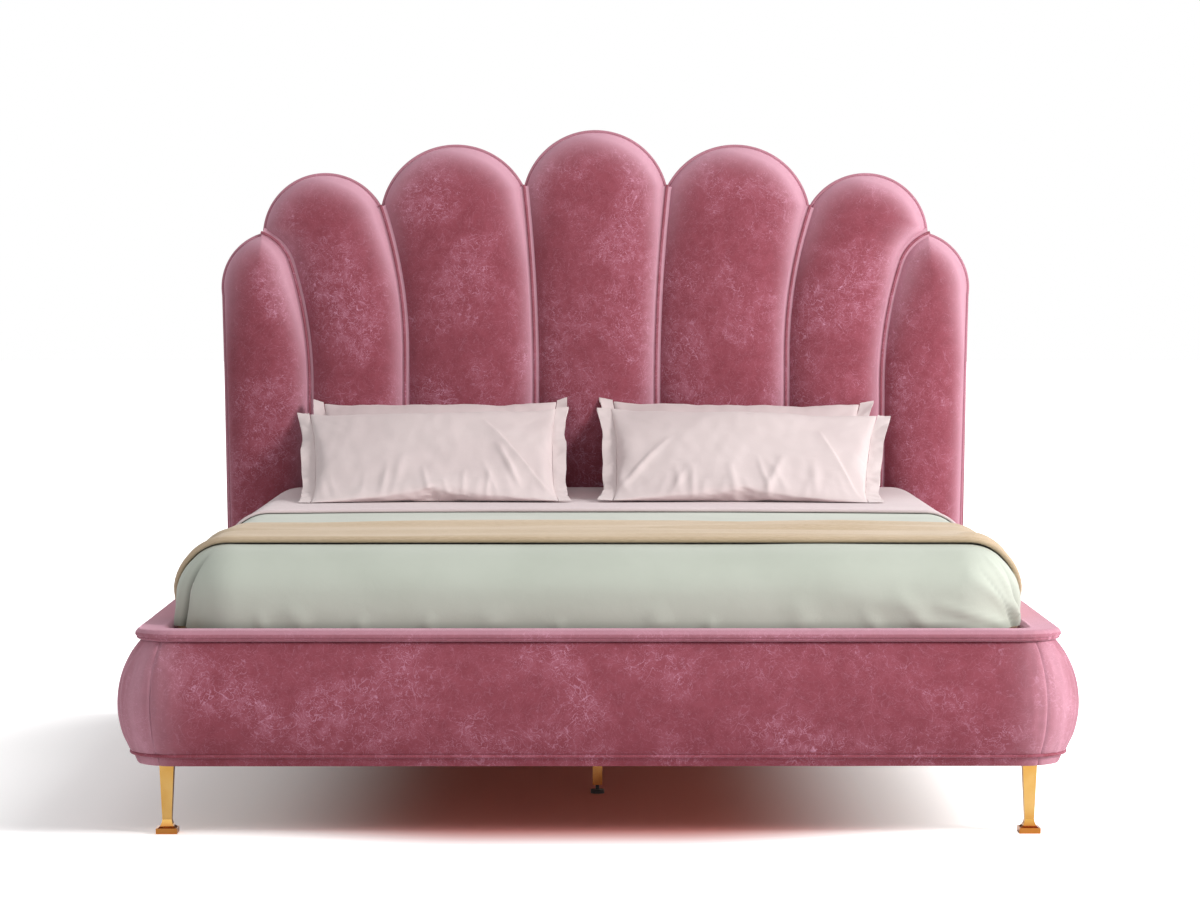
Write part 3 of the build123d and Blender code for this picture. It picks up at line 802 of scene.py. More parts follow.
def pad_relief(points, stations, section):
    """Soft waves of the foam, upright ripples on the round corners, and the tuck of the corner seam."""
    middle = points[:, len(section) // 2, :2]
    along = np.cumsum(np.hypot(*np.diff(middle, axis=0, prepend=middle[:1]).T))
    outer = np.clip(section[:, 0] / pad_top_depth, 0, 1)
    waves = foam_wave * soft_noise(points, (0.16, 0.16, 0.10), 3.0)
    gathered = np.sqrt(np.minimum(on_corner(stations) * 3, 1))[:, None]
    ripples = corner_ripple * soft_noise(points, (0.014, 0.014, 0.16), 8.0) * gathered
    tuck = np.zeros(len(stations))
    for row in seam_rows(stations):
        tuck -= seam_tuck_depth * np.exp(-np.abs(along - along[row]) / seam_tuck_width)
    return (waves + ripples + tuck[:, None]) * outer


def painted_corner_sheen(points, stations, section):
    """Painted sheen in upright streaks where the padding turns a corner, palest beside the corner seam, with a
    painted highlight along the seam itself.
    """
    grid = points.reshape(len(stations), len(section), 3)
    streaks = 0.5 + 0.5 * soft_noise(grid, (0.014, 0.014, 0.22), 14.0)
    middle = grid[:, len(section) // 2, :2]
    seams = seam_rows(stations)
    from_seam = np.min([np.hypot(*(middle - middle[row]).T) for row in seams], 0)[:, None]
    if len(seams) == 2:
        reach, most = 0.052, 0.36
    else:
        reach, most = 0.10, 0.72 * (1 - 0.5 * np.exp(-(from_seam / 0.022) ** 2))
    ends = most * np.exp(-(from_seam / reach) ** 2) * (0.7 + 0.3 * streaks)
    # painted highlight along the corner seam
    ends += 0.22 * np.exp(-from_seam / 0.004)
    return np.minimum(ends, 0.85) * (section[:, 0] > 0)


foot_stations, side_stations = foot_run(), side_run()
base_sides = (("foot", foot_stations, 1), ("right_side", side_stations, 1), ("left_side", side_stations, -1))
section = pad_section()
for name, stations, side in base_sides:
    points, faces = swept(stations, section, pad_relief)
    pad = new_piece(f"velvet_{name}_pad", points * np.array((side, 1, 1)), faces, velvet,
                    edge=painted_corner_sheen(points, stations, section))
    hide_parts(f"{name}_pad")
    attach(pad, "bed")


# A roll of velvet over wadding caps the rails. Its lower front edge is sewn
# off as a narrow welt, and it ends in the same corner seams as the padding.

rim_low, rim_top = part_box("foot_rim_roll")[0].z - 0.001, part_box("foot_rim_roll")[1].z - 0.0035
rail_thickness = 0.025
rail_clearance = 0.0005
rim_overhang = 0.038
rim_round = 0.0105
welt_share, welt_groove_width, welt_groove_depth = 0.30, 0.0013, 0.0024
rim_crown = 0.0012
wadding_wave, rim_gather = 0.0008, 0.0013
# painted highlight on the top of the roll, fainter painted sheen on the rest, and how far down from the top the
# highlight reaches
painted_rim_highlight, painted_rim_sheen, rim_highlight_depth = 0.50, 0.22, 0.007


def rim_section():
    """Flattened roll, with a groove under which its lower edge stands out as a welt."""
    height = rim_top - rim_low
    inner, outer = -rail_thickness + rail_clearance, rim_overhang
    points = []
    for centre_depth, centre_z, start in (
        (outer - rim_round, rim_low + rim_round, -90), (outer - rim_round, rim_top - rim_round, 0),
        (inner + rim_round, rim_top - rim_round, 90), (inner + rim_round, rim_low + rim_round, 180),
    ):
        for angle in np.radians(np.linspace(start, start + 90, 12)):
            points.append((centre_depth + rim_round * math.cos(angle), centre_z + rim_round * math.sin(angle)))
    section = np.array(points)
    groove = np.exp(-((section[:, 1] - rim_low - welt_share * height) / welt_groove_width) ** 2)
    section[:, 0] -= welt_groove_depth * groove * (section[:, 0] > 0.015)
    crown = np.clip((section[:, 0] - inner) / (outer - inner), 0, 1)
    section[:, 1] += rim_crown * np.sin(crown * math.pi) * (section[:, 1] > rim_top - 0.002)
    return section


def rim_relief(points, stations, section):
    """Slight unevenness of the wadding, and gathers round the corners."""
    waves = wadding_wave * soft_noise(points, (0.09, 0.09, 0.05), 21.0)
    gathered = np.sqrt(np.minimum(on_corner(stations) * 3, 1))[:, None]
    gathers = rim_gather * soft_noise(points, (0.010, 0.010, 0.05), 30.0) * gathered
    return (waves + gathers) * (section[:, 0] > 0)


section = rim_section()
for name, stations, side in base_sides:
    points, faces = swept(stations, section, rim_relief)
    # painted light on the roll: highlight on its top, sheen on the rest
    painted_rim_light = np.where(section[:, 1] > rim_top - rim_highlight_depth, painted_rim_highlight, painted_rim_sheen)
    painted_rim_light = np.tile(painted_rim_light, (len(stations), 1))
    roll = new_piece(f"velvet_{name}_rim_roll", points * np.array((side, 1, 1)), faces, velvet, edge=painted_rim_light)
    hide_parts(f"{name}_rim_roll")
    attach(roll, "bed")


# The lower piping runs round the base between the barrel and the plain band,
# a cord in a strip of the velvet that is sewn into the seam of the two.

piping_reach = corner_radius + pad_foot_depth + base_piping_radius
piping_z = base_bottom + piping_height
for name, stations, side in base_sides:
    line = np.column_stack((
        side * (stations[:, 0] + stations[:, 2] * piping_reach),
        stations[:, 1] + stations[:, 3] * piping_reach,
        np.full(len(stations), piping_z),
    ))
    piping = grown(f"{name}_base_piping", [line], cord_nodes, cord_inputs,
                   {"Radius": base_piping_radius, "Material": velvet})
    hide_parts(f"{name}_base_welt")
    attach(piping, "bed")


# The mattress is a sprung block in woven ticking, with a taped edge round its
# top and its bottom and a quilted top and bottom panel.

mattress_low, mattress_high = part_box("mattress")
plan_corner = 0.105
edge_round, lower_edge_round = 0.080, 0.03
quilt_step, quilt_depth = 0.14, 0.004
ring_step = 0.015
corner_steps = 12
edge_steps, lower_edge_steps, side_steps, panel_steps = 9, 6, 5, 40


def bed_ring(half_width, foot_y, head_y, corner, foot_step=ring_step, foot_turn=corner_steps):
    """Points round a bed-shaped plan from the middle of its foot to the right, with outward directions."""
    def straight(start, end, step=ring_step):
        return np.linspace(start, end, max(2, math.ceil(math.dist(start, end) / step)))[1:]

    def turn(centre, first, steps=corner_steps):
        angles = np.linspace(first, first + math.pi / 2, steps + 1)[1:]
        return np.array(centre) + corner * np.column_stack((np.cos(angles), np.sin(angles)))

    x, low, high = half_width - corner, foot_y + corner, head_y - corner
    points = np.vstack((
        [(0, foot_y)], straight((0, foot_y), (x, foot_y), foot_step), turn((x, low), -math.pi / 2, foot_turn),
        straight((half_width, low), (half_width, high)), turn((x, high), 0),
        straight((x, head_y), (-x, head_y)), turn((-x, high), math.pi / 2),
        straight((-half_width, high), (-half_width, low)), turn((-x, low), math.pi, foot_turn),
        straight((-x, foot_y), (0, foot_y), foot_step)[:-1],
    ))
    core = np.column_stack((np.clip(points[:, 0], -x, x), np.clip(points[:, 1], low, high)))
    outward = points - core
    outward /= np.hypot(outward[:, 0], outward[:, 1])[:, None]
    return points, outward


def roll_levels(side_low, top, radius, steps, rise):
    """(inset, height, lean) of rings that climb a side and roll over its top edge."""
    levels = [(0.0, z, 0.0) for z in np.linspace(side_low, top - radius, rise)[:-1]]
    for angle in np.linspace(0, math.pi / 2, steps):
        levels.append((radius * (1 - math.cos(angle)), top - radius * (1 - math.sin(angle)), angle))
    return levels


def bed_rings(ring, outward, levels, spine, flat_steps):
    """Rings at each level, then rings that close over the flat to the spine of the bed."""
    rings = [np.column_stack((ring - outward * inset, np.full(len(ring), z))) for inset, z, _ in levels]
    rim = rings[-1]
    middle = np.column_stack((np.zeros(len(ring)), np.clip(ring[:, 1], *spine), rim[:, 2]))
    for share in np.linspace(0, 1, flat_steps + 1)[1:]:
        rings.append(rim * (1 - share) + middle * share)
    return np.array(rings)


def ticking():
    thread = 0.002
    finish = Finish("woven_ticking")
    twill = finish.node("ShaderNodeSeparateXYZ", {}, {0: finish.place}, output=0)
    rib = finish.node("ShaderNodeMath", {"operation": "PINGPONG"}, {0: twill, 1: thread}) * (1 / thread)
    slub = finish.cloud(120.0, detail=3.0)
    colour = finish.mix(slub, (0.80, 0.78, 0.73), (0.88, 0.87, 0.83))
    colour = finish.mix(rib * 0.2, colour, (0.70, 0.69, 0.66))
    return finish.surface({"Base Color": colour, "Roughness": 0.9, "Sheen Weight": 0.15}, rib + slub, 0.0006)


mattress_half = mattress_high.x
spine_y = (mattress_low.y + mattress_half, mattress_high.y - mattress_half)
mattress_ring, mattress_out = bed_ring(mattress_half, mattress_low.y, mattress_high.y, plan_corner)
middle_z = (mattress_low.z + mattress_high.z) / 2
upper = roll_levels(middle_z, mattress_high.z, edge_round, edge_steps, side_steps)
lower = roll_levels(middle_z, mattress_high.z, lower_edge_round, lower_edge_steps, side_steps)
lower = [(inset, 2 * middle_z - z, lean) for inset, z, lean in lower]


def quilted(rings, sign, start):
    """Draw the panels in along two sets of crossing stitch lines."""
    x, y = rings[start:, :, 0], rings[start:, :, 1]
    diamond = np.abs(np.sin((x + y) * math.pi / quilt_step) * np.sin((x - y) * math.pi / quilt_step))
    rings[start:, :, 2] -= sign * quilt_depth * (1 - np.sqrt(diamond))
    return rings


top_rings = quilted(bed_rings(mattress_ring, mattress_out, upper, spine_y, panel_steps), 1, len(upper))
low_rings = quilted(bed_rings(mattress_ring, mattress_out, lower, spine_y, panel_steps), -1, len(lower))
mattress_rings = np.vstack((low_rings[::-1], top_rings[1:]))
mattress = new_piece("ticking_mattress", mattress_rings.reshape(-1, 3),
                     grid_faces(len(mattress_rings), len(mattress_ring), wrap=True), ticking())
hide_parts("mattress")
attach(mattress, "bed")


# The bedspread is washed cotton in a pale sage. It is drawn over the mattress,
# folded at the foot corners as a bed is made, and tucked between mattress and rails.

bedspread_low, bedspread_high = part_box("bedspread")
cloth_thickness = 0.003
spread_half = bedspread_high.x
cover_round = edge_round + spread_half - mattress_half
cover_corner = plan_corner + spread_half - mattress_half
tuck_z = bedspread_low.z
spread_step, spread_corner_steps = 0.007, 40
spread_roll_steps, spread_drop_steps, spread_flat_steps = 16, 9, 46
corner_stand, corner_stand_reach = 0.0095, 0.055
side_wave, top_wave = 0.0022, 0.0012
# painted shade: how dark its colour is, and how strong it is just above the rim roll
tuck_shade, rim_shade = 0.25, 0.45


def creases(across, up, folds):
    """Height of soft ridges, each from one place to another with its width, height and peak.

    A width below 0 makes a ridge that is steep on one side.
    """
    total = np.zeros(across.shape)
    for from_a, from_b, to_a, to_b, width, height, peak in folds:
        line = np.array((to_a - from_a, to_b - from_b))
        length = np.hypot(*line)
        line /= length
        along = ((across - from_a) * line[0] + (up - from_b) * line[1]) / length
        aside = (up - from_b) * line[0] - (across - from_a) * line[1]
        fade = np.clip(1 - np.abs(along - peak) / np.where(along < peak, max(peak, 0.05), 1 - peak), 0, 1)
        shape = np.exp(-(aside / width) ** 2)
        if width < 0:
            gentle = np.exp(np.maximum(aside, 0) / (3 * width))
            steep = np.exp(-(aside / (0.3 * width)) ** 2)
            shape = np.where(aside > 0, gentle, steep)
        total += height * fade ** 0.7 * shape
    return total


spread_folds = [
    # along the foot from its middle, height, the same for the other end, width, height, peak
    (0.872, 0.384, 0.700, 0.500, 0.012, 0.0095, 0.30), (0.845, 0.384, 0.770, 0.525, 0.007, 0.0095, 0.35),
    (0.822, 0.384, 0.640, 0.440, 0.009, 0.0085, 0.30), (0.862, 0.384, 0.848, 0.505, -0.010, 0.0070, 0.45),
    (0.790, 0.384, 0.560, 0.408, 0.009, 0.0070, 0.25),
    (-0.868, 0.370, -0.806, 0.535, -0.010, 0.0090, 0.12),
    (-0.780, 0.388, -0.770, 0.470, 0.018, 0.0045, 0.30), (-0.560, 0.386, -0.600, 0.440, 0.018, 0.0045, 0.20),
    (-0.640, 0.386, -0.655, 0.425, 0.012, 0.0045, 0.20), (-0.460, 0.386, -0.450, 0.415, 0.012, 0.0040, 0.20),
    (-0.200, 0.386, -0.215, 0.430, 0.024, 0.0040, 0.20), (0.120, 0.386, 0.100, 0.440, 0.022, 0.0042, 0.20),
    (0.210, 0.386, 0.220, 0.415, 0.012, 0.0040, 0.20), (-0.080, 0.386, -0.075, 0.412, 0.012, 0.0035, 0.20),
    (0.400, 0.386, 0.370, 0.450, 0.024, 0.0045, 0.20), (-0.330, 0.386, -0.320, 0.425, 0.014, 0.0040, 0.20),
    (0.540, 0.386, 0.500, 0.430, 0.014, 0.0045, 0.25), (0.640, 0.386, 0.560, 0.470, 0.016, 0.0050, 0.30),
    (0.300, 0.530, 0.600, 0.480, 0.030, 0.0035, 0.50), (-0.650, 0.520, -0.250, 0.500, 0.030, 0.0025, 0.50),
    (-0.100, 0.470, 0.250, 0.455, 0.030, 0.0020, 0.50), (0.420, 0.460, 0.680, 0.425, 0.022, 0.0035, 0.50),
]
corner_tucks = [
    (-0.844, 0.370, -0.786, 0.528, 0.0072, -0.0200, 0.12), (0.856, 0.380, 0.812, 0.520, 0.0045, -0.0070, 0.20),
    (0.834, 0.384, 0.735, 0.510, 0.0045, -0.0060, 0.25),
]


def washed_cotton(name, light, dark, sheen=0.2, crease_height=0.0007):
    """Fine plain weave with the faint unevenness of washing, and painted shade where a piece's edge share is
    set.
    """
    finish = Finish(name)
    wash = finish.cloud(5.0, detail=4.0)
    crumple = finish.cloud(38.0, detail=5.0, distortion=0.6)
    weave = finish.cloud(1500.0, detail=1.0)
    colour = finish.mix(finish.rise(wash, 0.3, 0.7), dark, light)
    colour = finish.mix(finish.rise(crumple, 0.5, 0.8) * 0.2, colour, light)
    # painted shade: the colour goes towards a dark sage by the edge share
    tuck = finish.node("ShaderNodeAttribute", {"attribute_name": "edge"}, output="Fac")
    colour = finish.mix(tuck, colour, tuple(tuck_shade * part for part in dark))
    values = {"Base Color": colour, "Roughness": 0.78 + 0.14 * crumple, "Specular IOR Level": 0.3,
              "Sheen Weight": sheen, "Sheen Roughness": 0.45}
    return finish.surface(values, crumple * 0.75 + weave * 0.25, crease_height)


sage = washed_cotton("sage_cotton", (0.555, 0.595, 0.520), (0.512, 0.552, 0.478))
spread_ring, spread_out = bed_ring(spread_half, bedspread_low.y, bedspread_high.y, cover_corner,
                                   spread_step, spread_corner_steps)
steps = np.hypot(*np.diff(spread_ring, axis=0, append=spread_ring[:1]).T)
along_ring = np.concatenate(([0], np.cumsum(steps)[:-1]))
along_ring = np.where(along_ring > steps.sum() / 2, along_ring - steps.sum(), along_ring)


def corner_fullness(y, z):
    """How far the folded cloth of a foot corner stands out beyond the mattress."""
    into = np.clip((bedspread_low.y + cover_corner - y) / cover_corner, 0, 1)
    around = np.clip(y - bedspread_low.y - cover_corner, 0, None) - cover_corner * np.arcsin(into)
    hung = np.clip((bedspread_high.z - 0.03 - z) / 0.06, 0, 1)
    return corner_stand * hung * np.exp(-((around - 0.018) / corner_stand_reach) ** 4)


def spread_shell(inner):
    """Rings of the bedspread at a depth inside its outer face, and its share of painted shade: in the corner
    tucks and just above the rim roll.
    """
    levels = roll_levels(tuck_z, bedspread_high.z, cover_round, spread_roll_steps, spread_drop_steps)
    levels = [(inset + inner, z - inner * math.sin(lean), lean) for inset, z, lean in levels]
    spine = bedspread_low.y + spread_half, bedspread_high.y - spread_half
    rings = bed_rings(spread_ring, spread_out, levels, spine, spread_flat_steps)
    heights = np.repeat(np.array([z for _, z, _ in levels])[:, None], len(spread_ring), 1)
    along = np.repeat(along_ring[None, :], len(levels), 0)
    push = creases(along, heights, spread_folds + corner_tucks) + corner_fullness(spread_ring[:, 1], heights)
    side = rings[:len(levels)]
    drawn = np.clip((heights - tuck_z) / 0.03, 0, 1)
    push += side_wave * soft_noise(side, (0.30, 0.30, 0.09), 40.0) * drawn
    lean = np.array([lean for _, _, lean in levels])[:, None]
    side[..., 0] += push * np.cos(lean) * spread_out[:, 0]
    side[..., 1] += push * np.cos(lean) * spread_out[:, 1]
    side[..., 2] += push * np.sin(lean)
    top = rings[len(levels):]
    top[..., 2] += top_wave * soft_noise(top, (0.35, 0.20, 1.0), 52.0) * (inner == 0)
    # painted shade just above the rim roll and inside the corner tucks
    painted_shade_share = np.zeros(rings.shape[:2])
    painted_shade_share[:len(levels)] = rim_shade * np.exp(-np.clip(heights - rim_top, 0, None) / 0.006)
    painted_shade_share[:len(levels)] += np.clip(-creases(along, heights, corner_tucks) / 0.014, 0, 0.85)
    return rings, painted_shade_share


outside, painted_shade_share = spread_shell(0.0)
inside, _ = spread_shell(cloth_thickness)
shell_rings = np.concatenate((inside[::-1], outside))
painted_shade_share = np.concatenate((painted_shade_share * 0, painted_shade_share))
bedspread = new_piece("sage_bedspread", shell_rings.reshape(-1, 3),
                      grid_faces(len(shell_rings), len(spread_ring), wrap=True), sage, edge=painted_shade_share)
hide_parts("bedspread")
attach(bedspread, "bed")


# The blanket is fine tan wool, laid across the foot of the bed with its long
# edges folded under, and tucked in at both sides.

blanket_low, blanket_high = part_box("blanket")
blanket_bulk = 0.0042
blanket_roll = 0.0062
blanket_gap = 0.0034
blanket_short = 0.075
edge_bow = 0.10
lay_step = 0.012
lay_clearance = 0.0006
front_wave, rear_wave = 0.0025, 0.022


def bed_half_width(y, half_width, foot_y, corner):
    """Half the width of the made bed at a place along it, which narrows round the foot corners."""
    into = np.clip(foot_y + corner - y, 0, corner)
    return half_width - corner + np.sqrt(corner ** 2 - into ** 2)


def two_sided(upper, under):
    """Closed slab between two grids of points: points and faces."""
    rows, columns = upper.shape[:2]
    count = rows * columns
    behind = [tuple(reversed(face)) for face in grid_faces(rows, columns, first=count)]
    faces = grid_faces(rows, columns) + behind
    border = (list(range(columns)) + [row * columns + columns - 1 for row in range(1, rows)]
              + [(rows - 1) * columns + column for column in range(columns - 2, -1, -1)]
              + [row * columns for row in range(rows - 2, 0, -1)])
    for here, there in zip(border, border[1:] + border[:1]):
        faces.append((here, there, there + count, here + count))
    return np.concatenate((upper.reshape(-1, 3), under.reshape(-1, 3))), faces


def laid_cloth(ends, half_width, hem_z, top_z, bulk, roll, gap, sweep, relief):
    """A cloth laid over the top and both sides of the bed, its front edge folded into a roll.

    sweep is how far its front edge, its drop and its rear edge are drawn along the bed at the sides.
    Returns points, faces and flat size.
    """
    bend = cover_round * math.pi / 2
    flat = half_width - cover_round
    reach = top_z - cover_round - hem_z + bend + flat
    length = ends[1] - ends[0]
    turn = np.radians(np.linspace(-75, 90, 9))
    settle = np.linspace(0, 1, 8)[1:]
    rest = np.linspace(5 * roll, length - bulk, math.ceil(length / lay_step))[1:]
    tail = np.radians((35, 65, 90))
    back = np.concatenate((roll * (1 - np.cos(turn)), roll * (1 + 4 * settle), rest,
                           length - bulk * (1 - np.sin(tail))))
    crest = 2 * roll + gap
    rise = np.concatenate((gap + roll * (1 + np.sin(turn)),
                           bulk + (crest - bulk) * (0.5 + 0.5 * np.cos(settle * math.pi)),
                           np.full(len(rest), bulk), bulk * np.cos(tail)))
    across = np.linspace(-reach, reach, 2 * math.ceil(reach / lay_step) + 1)
    u, from_front = np.meshgrid(across, back)
    front_sweep, drop_sweep, rear_sweep = sweep
    to_rear = from_front / length
    reached = (np.abs(u) / reach) ** 2.2
    dropped = np.clip((np.abs(u) - flat) / (reach - flat), 0, 1)
    shift = (ends[0] - reached * (front_sweep * (1 - to_rear) + rear_sweep * to_rear)
             + drop_sweep * dropped ** 1.5 * (1 - to_rear))
    over = np.clip((np.abs(u) - flat) / cover_round, 0, math.pi / 2)
    normal = np.stack((np.sin(over) * np.sign(u), np.zeros_like(u), np.cos(over)), -1)
    down = np.clip(np.abs(u) - flat - bend, 0, None)

    def on_bed(y):
        narrowed = half_width - bed_half_width(y, half_width, bedspread_low.y, cover_corner)
        z = top_z - cover_round * (1 - np.cos(over)) - down
        x = np.minimum(np.abs(u), flat) + (cover_round - narrowed) * np.sin(over) + corner_fullness(y, z)
        return np.stack((x * np.sign(u), y, z), -1)

    thin_side = np.sqrt(1 - (1 - np.clip((reach - np.abs(u)) / bulk, 0, 1)) ** 2) * (1 - 0.4 * dropped)
    loose = np.clip((from_front - 3 * roll) / 0.03, 0, 1) * np.clip((length - from_front) / 0.03, 0, 1)
    loose *= np.clip((reach - np.abs(u)) / 0.03, 0, 1)
    y = from_front + shift
    lift = rise[:, None] * thin_side + relief(u, y) * loose
    along_u = np.stack((u, u * 0, u * 0), -1)
    sway = front_wave * soft_noise(along_u, (0.16, 1, 1), 66.0) * np.clip(1 - from_front / 0.10, 0, 1)
    sway += rear_wave * soft_noise(along_u, (0.33, 1, 1), 68.0) * to_rear ** 4
    held_up = gap * np.clip(1 - from_front / (7 * roll), 0, 1) * thin_side
    upper = on_bed(y + sway) + normal * lift[..., None]
    under = on_bed(np.maximum(from_front, roll) + shift + sway) + normal * held_up[..., None]
    points, faces = two_sided(upper, under)
    return points, faces, (2 * reach, length + math.pi * roll + 0.35 * (front_sweep - rear_sweep))


blanket_folds = [
    # across the bed from its middle, place along it, the same for the other end, width, height, peak
    (-0.75, -0.36, 0.80, -0.34, -0.022, 0.0090, 0.35), (-0.90, -0.50, 0.30, -0.44, 0.026, 0.0080, 0.45),
    (-0.20, -0.57, 0.95, -0.62, -0.026, 0.0085, 0.55), (-0.95, -0.70, 0.75, -0.74, 0.030, 0.0075, 0.40),
    (-0.60, -0.83, 0.90, -0.80, -0.024, 0.0070, 0.60), (0.10, -0.42, 0.90, -0.50, 0.014, 0.0070, 0.50),
    (-0.50, -0.30, 0.20, -0.31, 0.012, 0.0060, 0.50), (0.62, -0.86, 0.98, -0.70, 0.018, 0.0080, 0.50),
    (-0.98, -0.84, -0.66, -0.78, 0.020, 0.0070, 0.50), (-0.30, -0.66, 0.40, -0.68, 0.016, 0.0060, 0.50),
    (-0.98, -0.60, -0.50, -0.64, 0.018, 0.0070, 0.45), (-0.96, -0.42, -0.55, -0.38, 0.016, 0.0060, 0.45),
]


def blanket_relief(u, y):
    """Long soft folds of the blanket, which flatten towards its rear edge."""
    points = np.stack((u, y, np.zeros_like(u)), -1)
    to_rear = np.clip((blanket_high.y - y) / 0.10, 0, 1)
    ripple = 0.0018 * (1 + soft_noise(points, (0.45, 0.06, 1), 61.0))
    return to_rear * (1.4 * creases(u, y, blanket_folds) + ripple)


def brushed_wool():
    finish = Finish("tan_wool")
    nap = finish.cloud(1.0, finish.stretched((70.0, 900.0, 900.0)), detail=3.0)
    wash = finish.cloud(4.0)
    colour = finish.mix(finish.rise(nap, 0.3, 0.75), (0.530, 0.405, 0.270), (0.620, 0.490, 0.345))
    colour = finish.mix(finish.rise(wash, 0.4, 0.75) * 0.35, colour, (0.680, 0.550, 0.420))
    values = {"Base Color": colour, "Roughness": 0.85, "Specular IOR Level": 0.2, "Sheen Weight": 0.35,
              "Sheen Roughness": 0.4, "Sheen Tint": (1.0, 0.93, 0.84)}
    return finish.surface(values, nap, 0.0005)


over_spread, on_spread = spread_half + lay_clearance, bedspread_high.z + lay_clearance
points, faces, blanket_flat = laid_cloth(
    (blanket_low.y, blanket_high.y - blanket_short), over_spread, blanket_low.z, on_spread,
    blanket_bulk, blanket_roll, blanket_gap, (0.0, edge_bow, edge_bow), blanket_relief)
blanket = new_piece("tan_blanket", points, faces, brushed_wool(), sharp_angle=80)
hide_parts("blanket")
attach(blanket, "bed")


# The top sheet is smooth pale pink cotton, turned back below the pillows so
# that its fold lies across the bed as a narrow band.

sheet_low, sheet_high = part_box("top_sheet")
sheet_bulk = 0.0045
sheet_roll = 0.0034
sheet_gap = 0.0008
sheet_back = 0.080
sheet_folds = [
    (-0.80, 0.05, 0.50, 0.07, 0.020, 0.0014, 0.40), (-0.30, 0.14, 0.90, 0.12, 0.024, 0.0014, 0.55),
    (-0.98, 0.10, -0.70, 0.30, 0.022, 0.0018, 0.50), (0.70, 0.28, 0.98, 0.06, 0.022, 0.0018, 0.50),
]


def sheet_relief(u, y):
    """Faint folds of the sheet, which end under the pillows."""
    points = np.stack((u, y, np.zeros_like(u)), -1)
    under_pillows = np.clip((0.30 - y) / 0.1, 0, 1)
    return (creases(u, y, sheet_folds) + 0.0008 * soft_noise(points, (0.4, 0.09, 1), 71.0)) * under_pillows


pink = washed_cotton("pink_cotton", (0.700, 0.585, 0.595), (0.655, 0.535, 0.550), sheen=0.25)
points, faces, sheet_flat = laid_cloth(
    (sheet_low.y + sheet_back, sheet_high.y), over_spread, sheet_low.z, on_spread,
    sheet_bulk, sheet_roll, sheet_gap, (edge_bow, 0.0, 0.0), sheet_relief)
top_sheet = new_piece("pink_top_sheet", points, faces, pink, sharp_angle=80)
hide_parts("top_sheet")
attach(top_sheet, "bed")


# Four pillows in smooth blush cotton cases lean in two pairs. Each case is sewn
# along four sides with a flat flange left at both ends, and filled softly.

pillow_flange = 0.037
body_columns, flange_columns, case_rows = 74, 7, 56
start_half_thickness = 0.020
pillow_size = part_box("left_front_pillow")[1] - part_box("left_front_pillow")[0]
pillow_half_width = pillow_size.x / 2
pillow_half_height = 0.215
pillow_half_thickness = 0.058
pillow_lean = math.radians(31)
flange_half_thickness = 0.0016
most_frames = 40


def pillow_case():
    """An empty case: a grid with flanges at both ends, and a layer behind its body that shares the seams."""
    seam_x = pillow_half_width - pillow_flange
    across = np.concatenate((
        np.linspace(-pillow_half_width, -seam_x, flange_columns),
        np.linspace(-seam_x, seam_x, body_columns)[1:-1],
        np.linspace(seam_x, pillow_half_width, flange_columns),
    ))
    x, y = np.meshgrid(across, np.linspace(-pillow_half_height, pillow_half_height, case_rows))
    along, up = np.clip(np.abs(x) / seam_x, 0, 1), np.abs(y) / pillow_half_height
    puff = start_half_thickness * ((1 - along ** 4) * (1 - up ** 4)) ** 0.6
    front = np.stack((x, y, puff), -1)
    rows, columns = x.shape
    seams = flange_columns - 1, columns - flange_columns
    numbers = np.arange(rows * columns).reshape(rows, columns)
    behind = numbers.copy()
    inner = (slice(1, rows - 1), slice(seams[0] + 1, seams[1]))
    behind[inner] = rows * columns + np.arange(behind[inner].size).reshape(behind[inner].shape)
    back = front[inner] * np.array((1, 1, -1))
    faces = [(behind[r, c], behind[r + 1, c], behind[r + 1, c + 1], behind[r, c + 1])
             for r in range(rows - 1) for c in range(seams[0], seams[1])]
    points = np.concatenate((front.reshape(-1, 3), back.reshape(-1, 3)))
    filled = [int(n) for n in np.union1d(numbers[inner], behind[inner])]
    return points, grid_faces(rows, columns) + [tuple(map(int, face)) for face in faces], filled, numbers, seams


def blown_up(points, faces, filled):
    """The case while its filling swells it, until it is thick enough."""
    mesh = bpy.data.meshes.new("case")
    mesh.from_pydata(points.tolist(), [], faces)
    case = bpy.data.objects.new("case", mesh)
    case.vertex_groups.new(name="filling").add(filled, 1.0, "REPLACE")
    scene = bpy.context.scene
    scene.collection.objects.link(case)
    cloth = case.modifiers.new("filling", "CLOTH")
    cloth.settings.quality = 8
    cloth.settings.mass = 0.25
    cloth.settings.tension_stiffness = 30
    cloth.settings.compression_stiffness = 30
    cloth.settings.shear_stiffness = 12
    cloth.settings.bending_stiffness = 0.25
    cloth.settings.use_pressure = True
    cloth.settings.uniform_pressure_force = 2.0
    cloth.settings.vertex_group_pressure = "filling"
    cloth.settings.effector_weights.gravity = 0
    cloth.collision_settings.use_collision = False
    cloth.point_cache.frame_end = most_frames
    moved = np.empty(len(points) * 3)
    for step in range(1, most_frames + 1):
        scene.frame_set(step)
        swollen = case.evaluated_get(bpy.context.evaluated_depsgraph_get()).to_mesh()
        swollen.vertices.foreach_get("co", moved)
        if np.abs(moved[2::3]).max() >= pillow_half_thickness:
            break
    scene.frame_set(1)
    bpy.data.objects.remove(case)
    return moved.reshape(-1, 3).copy()


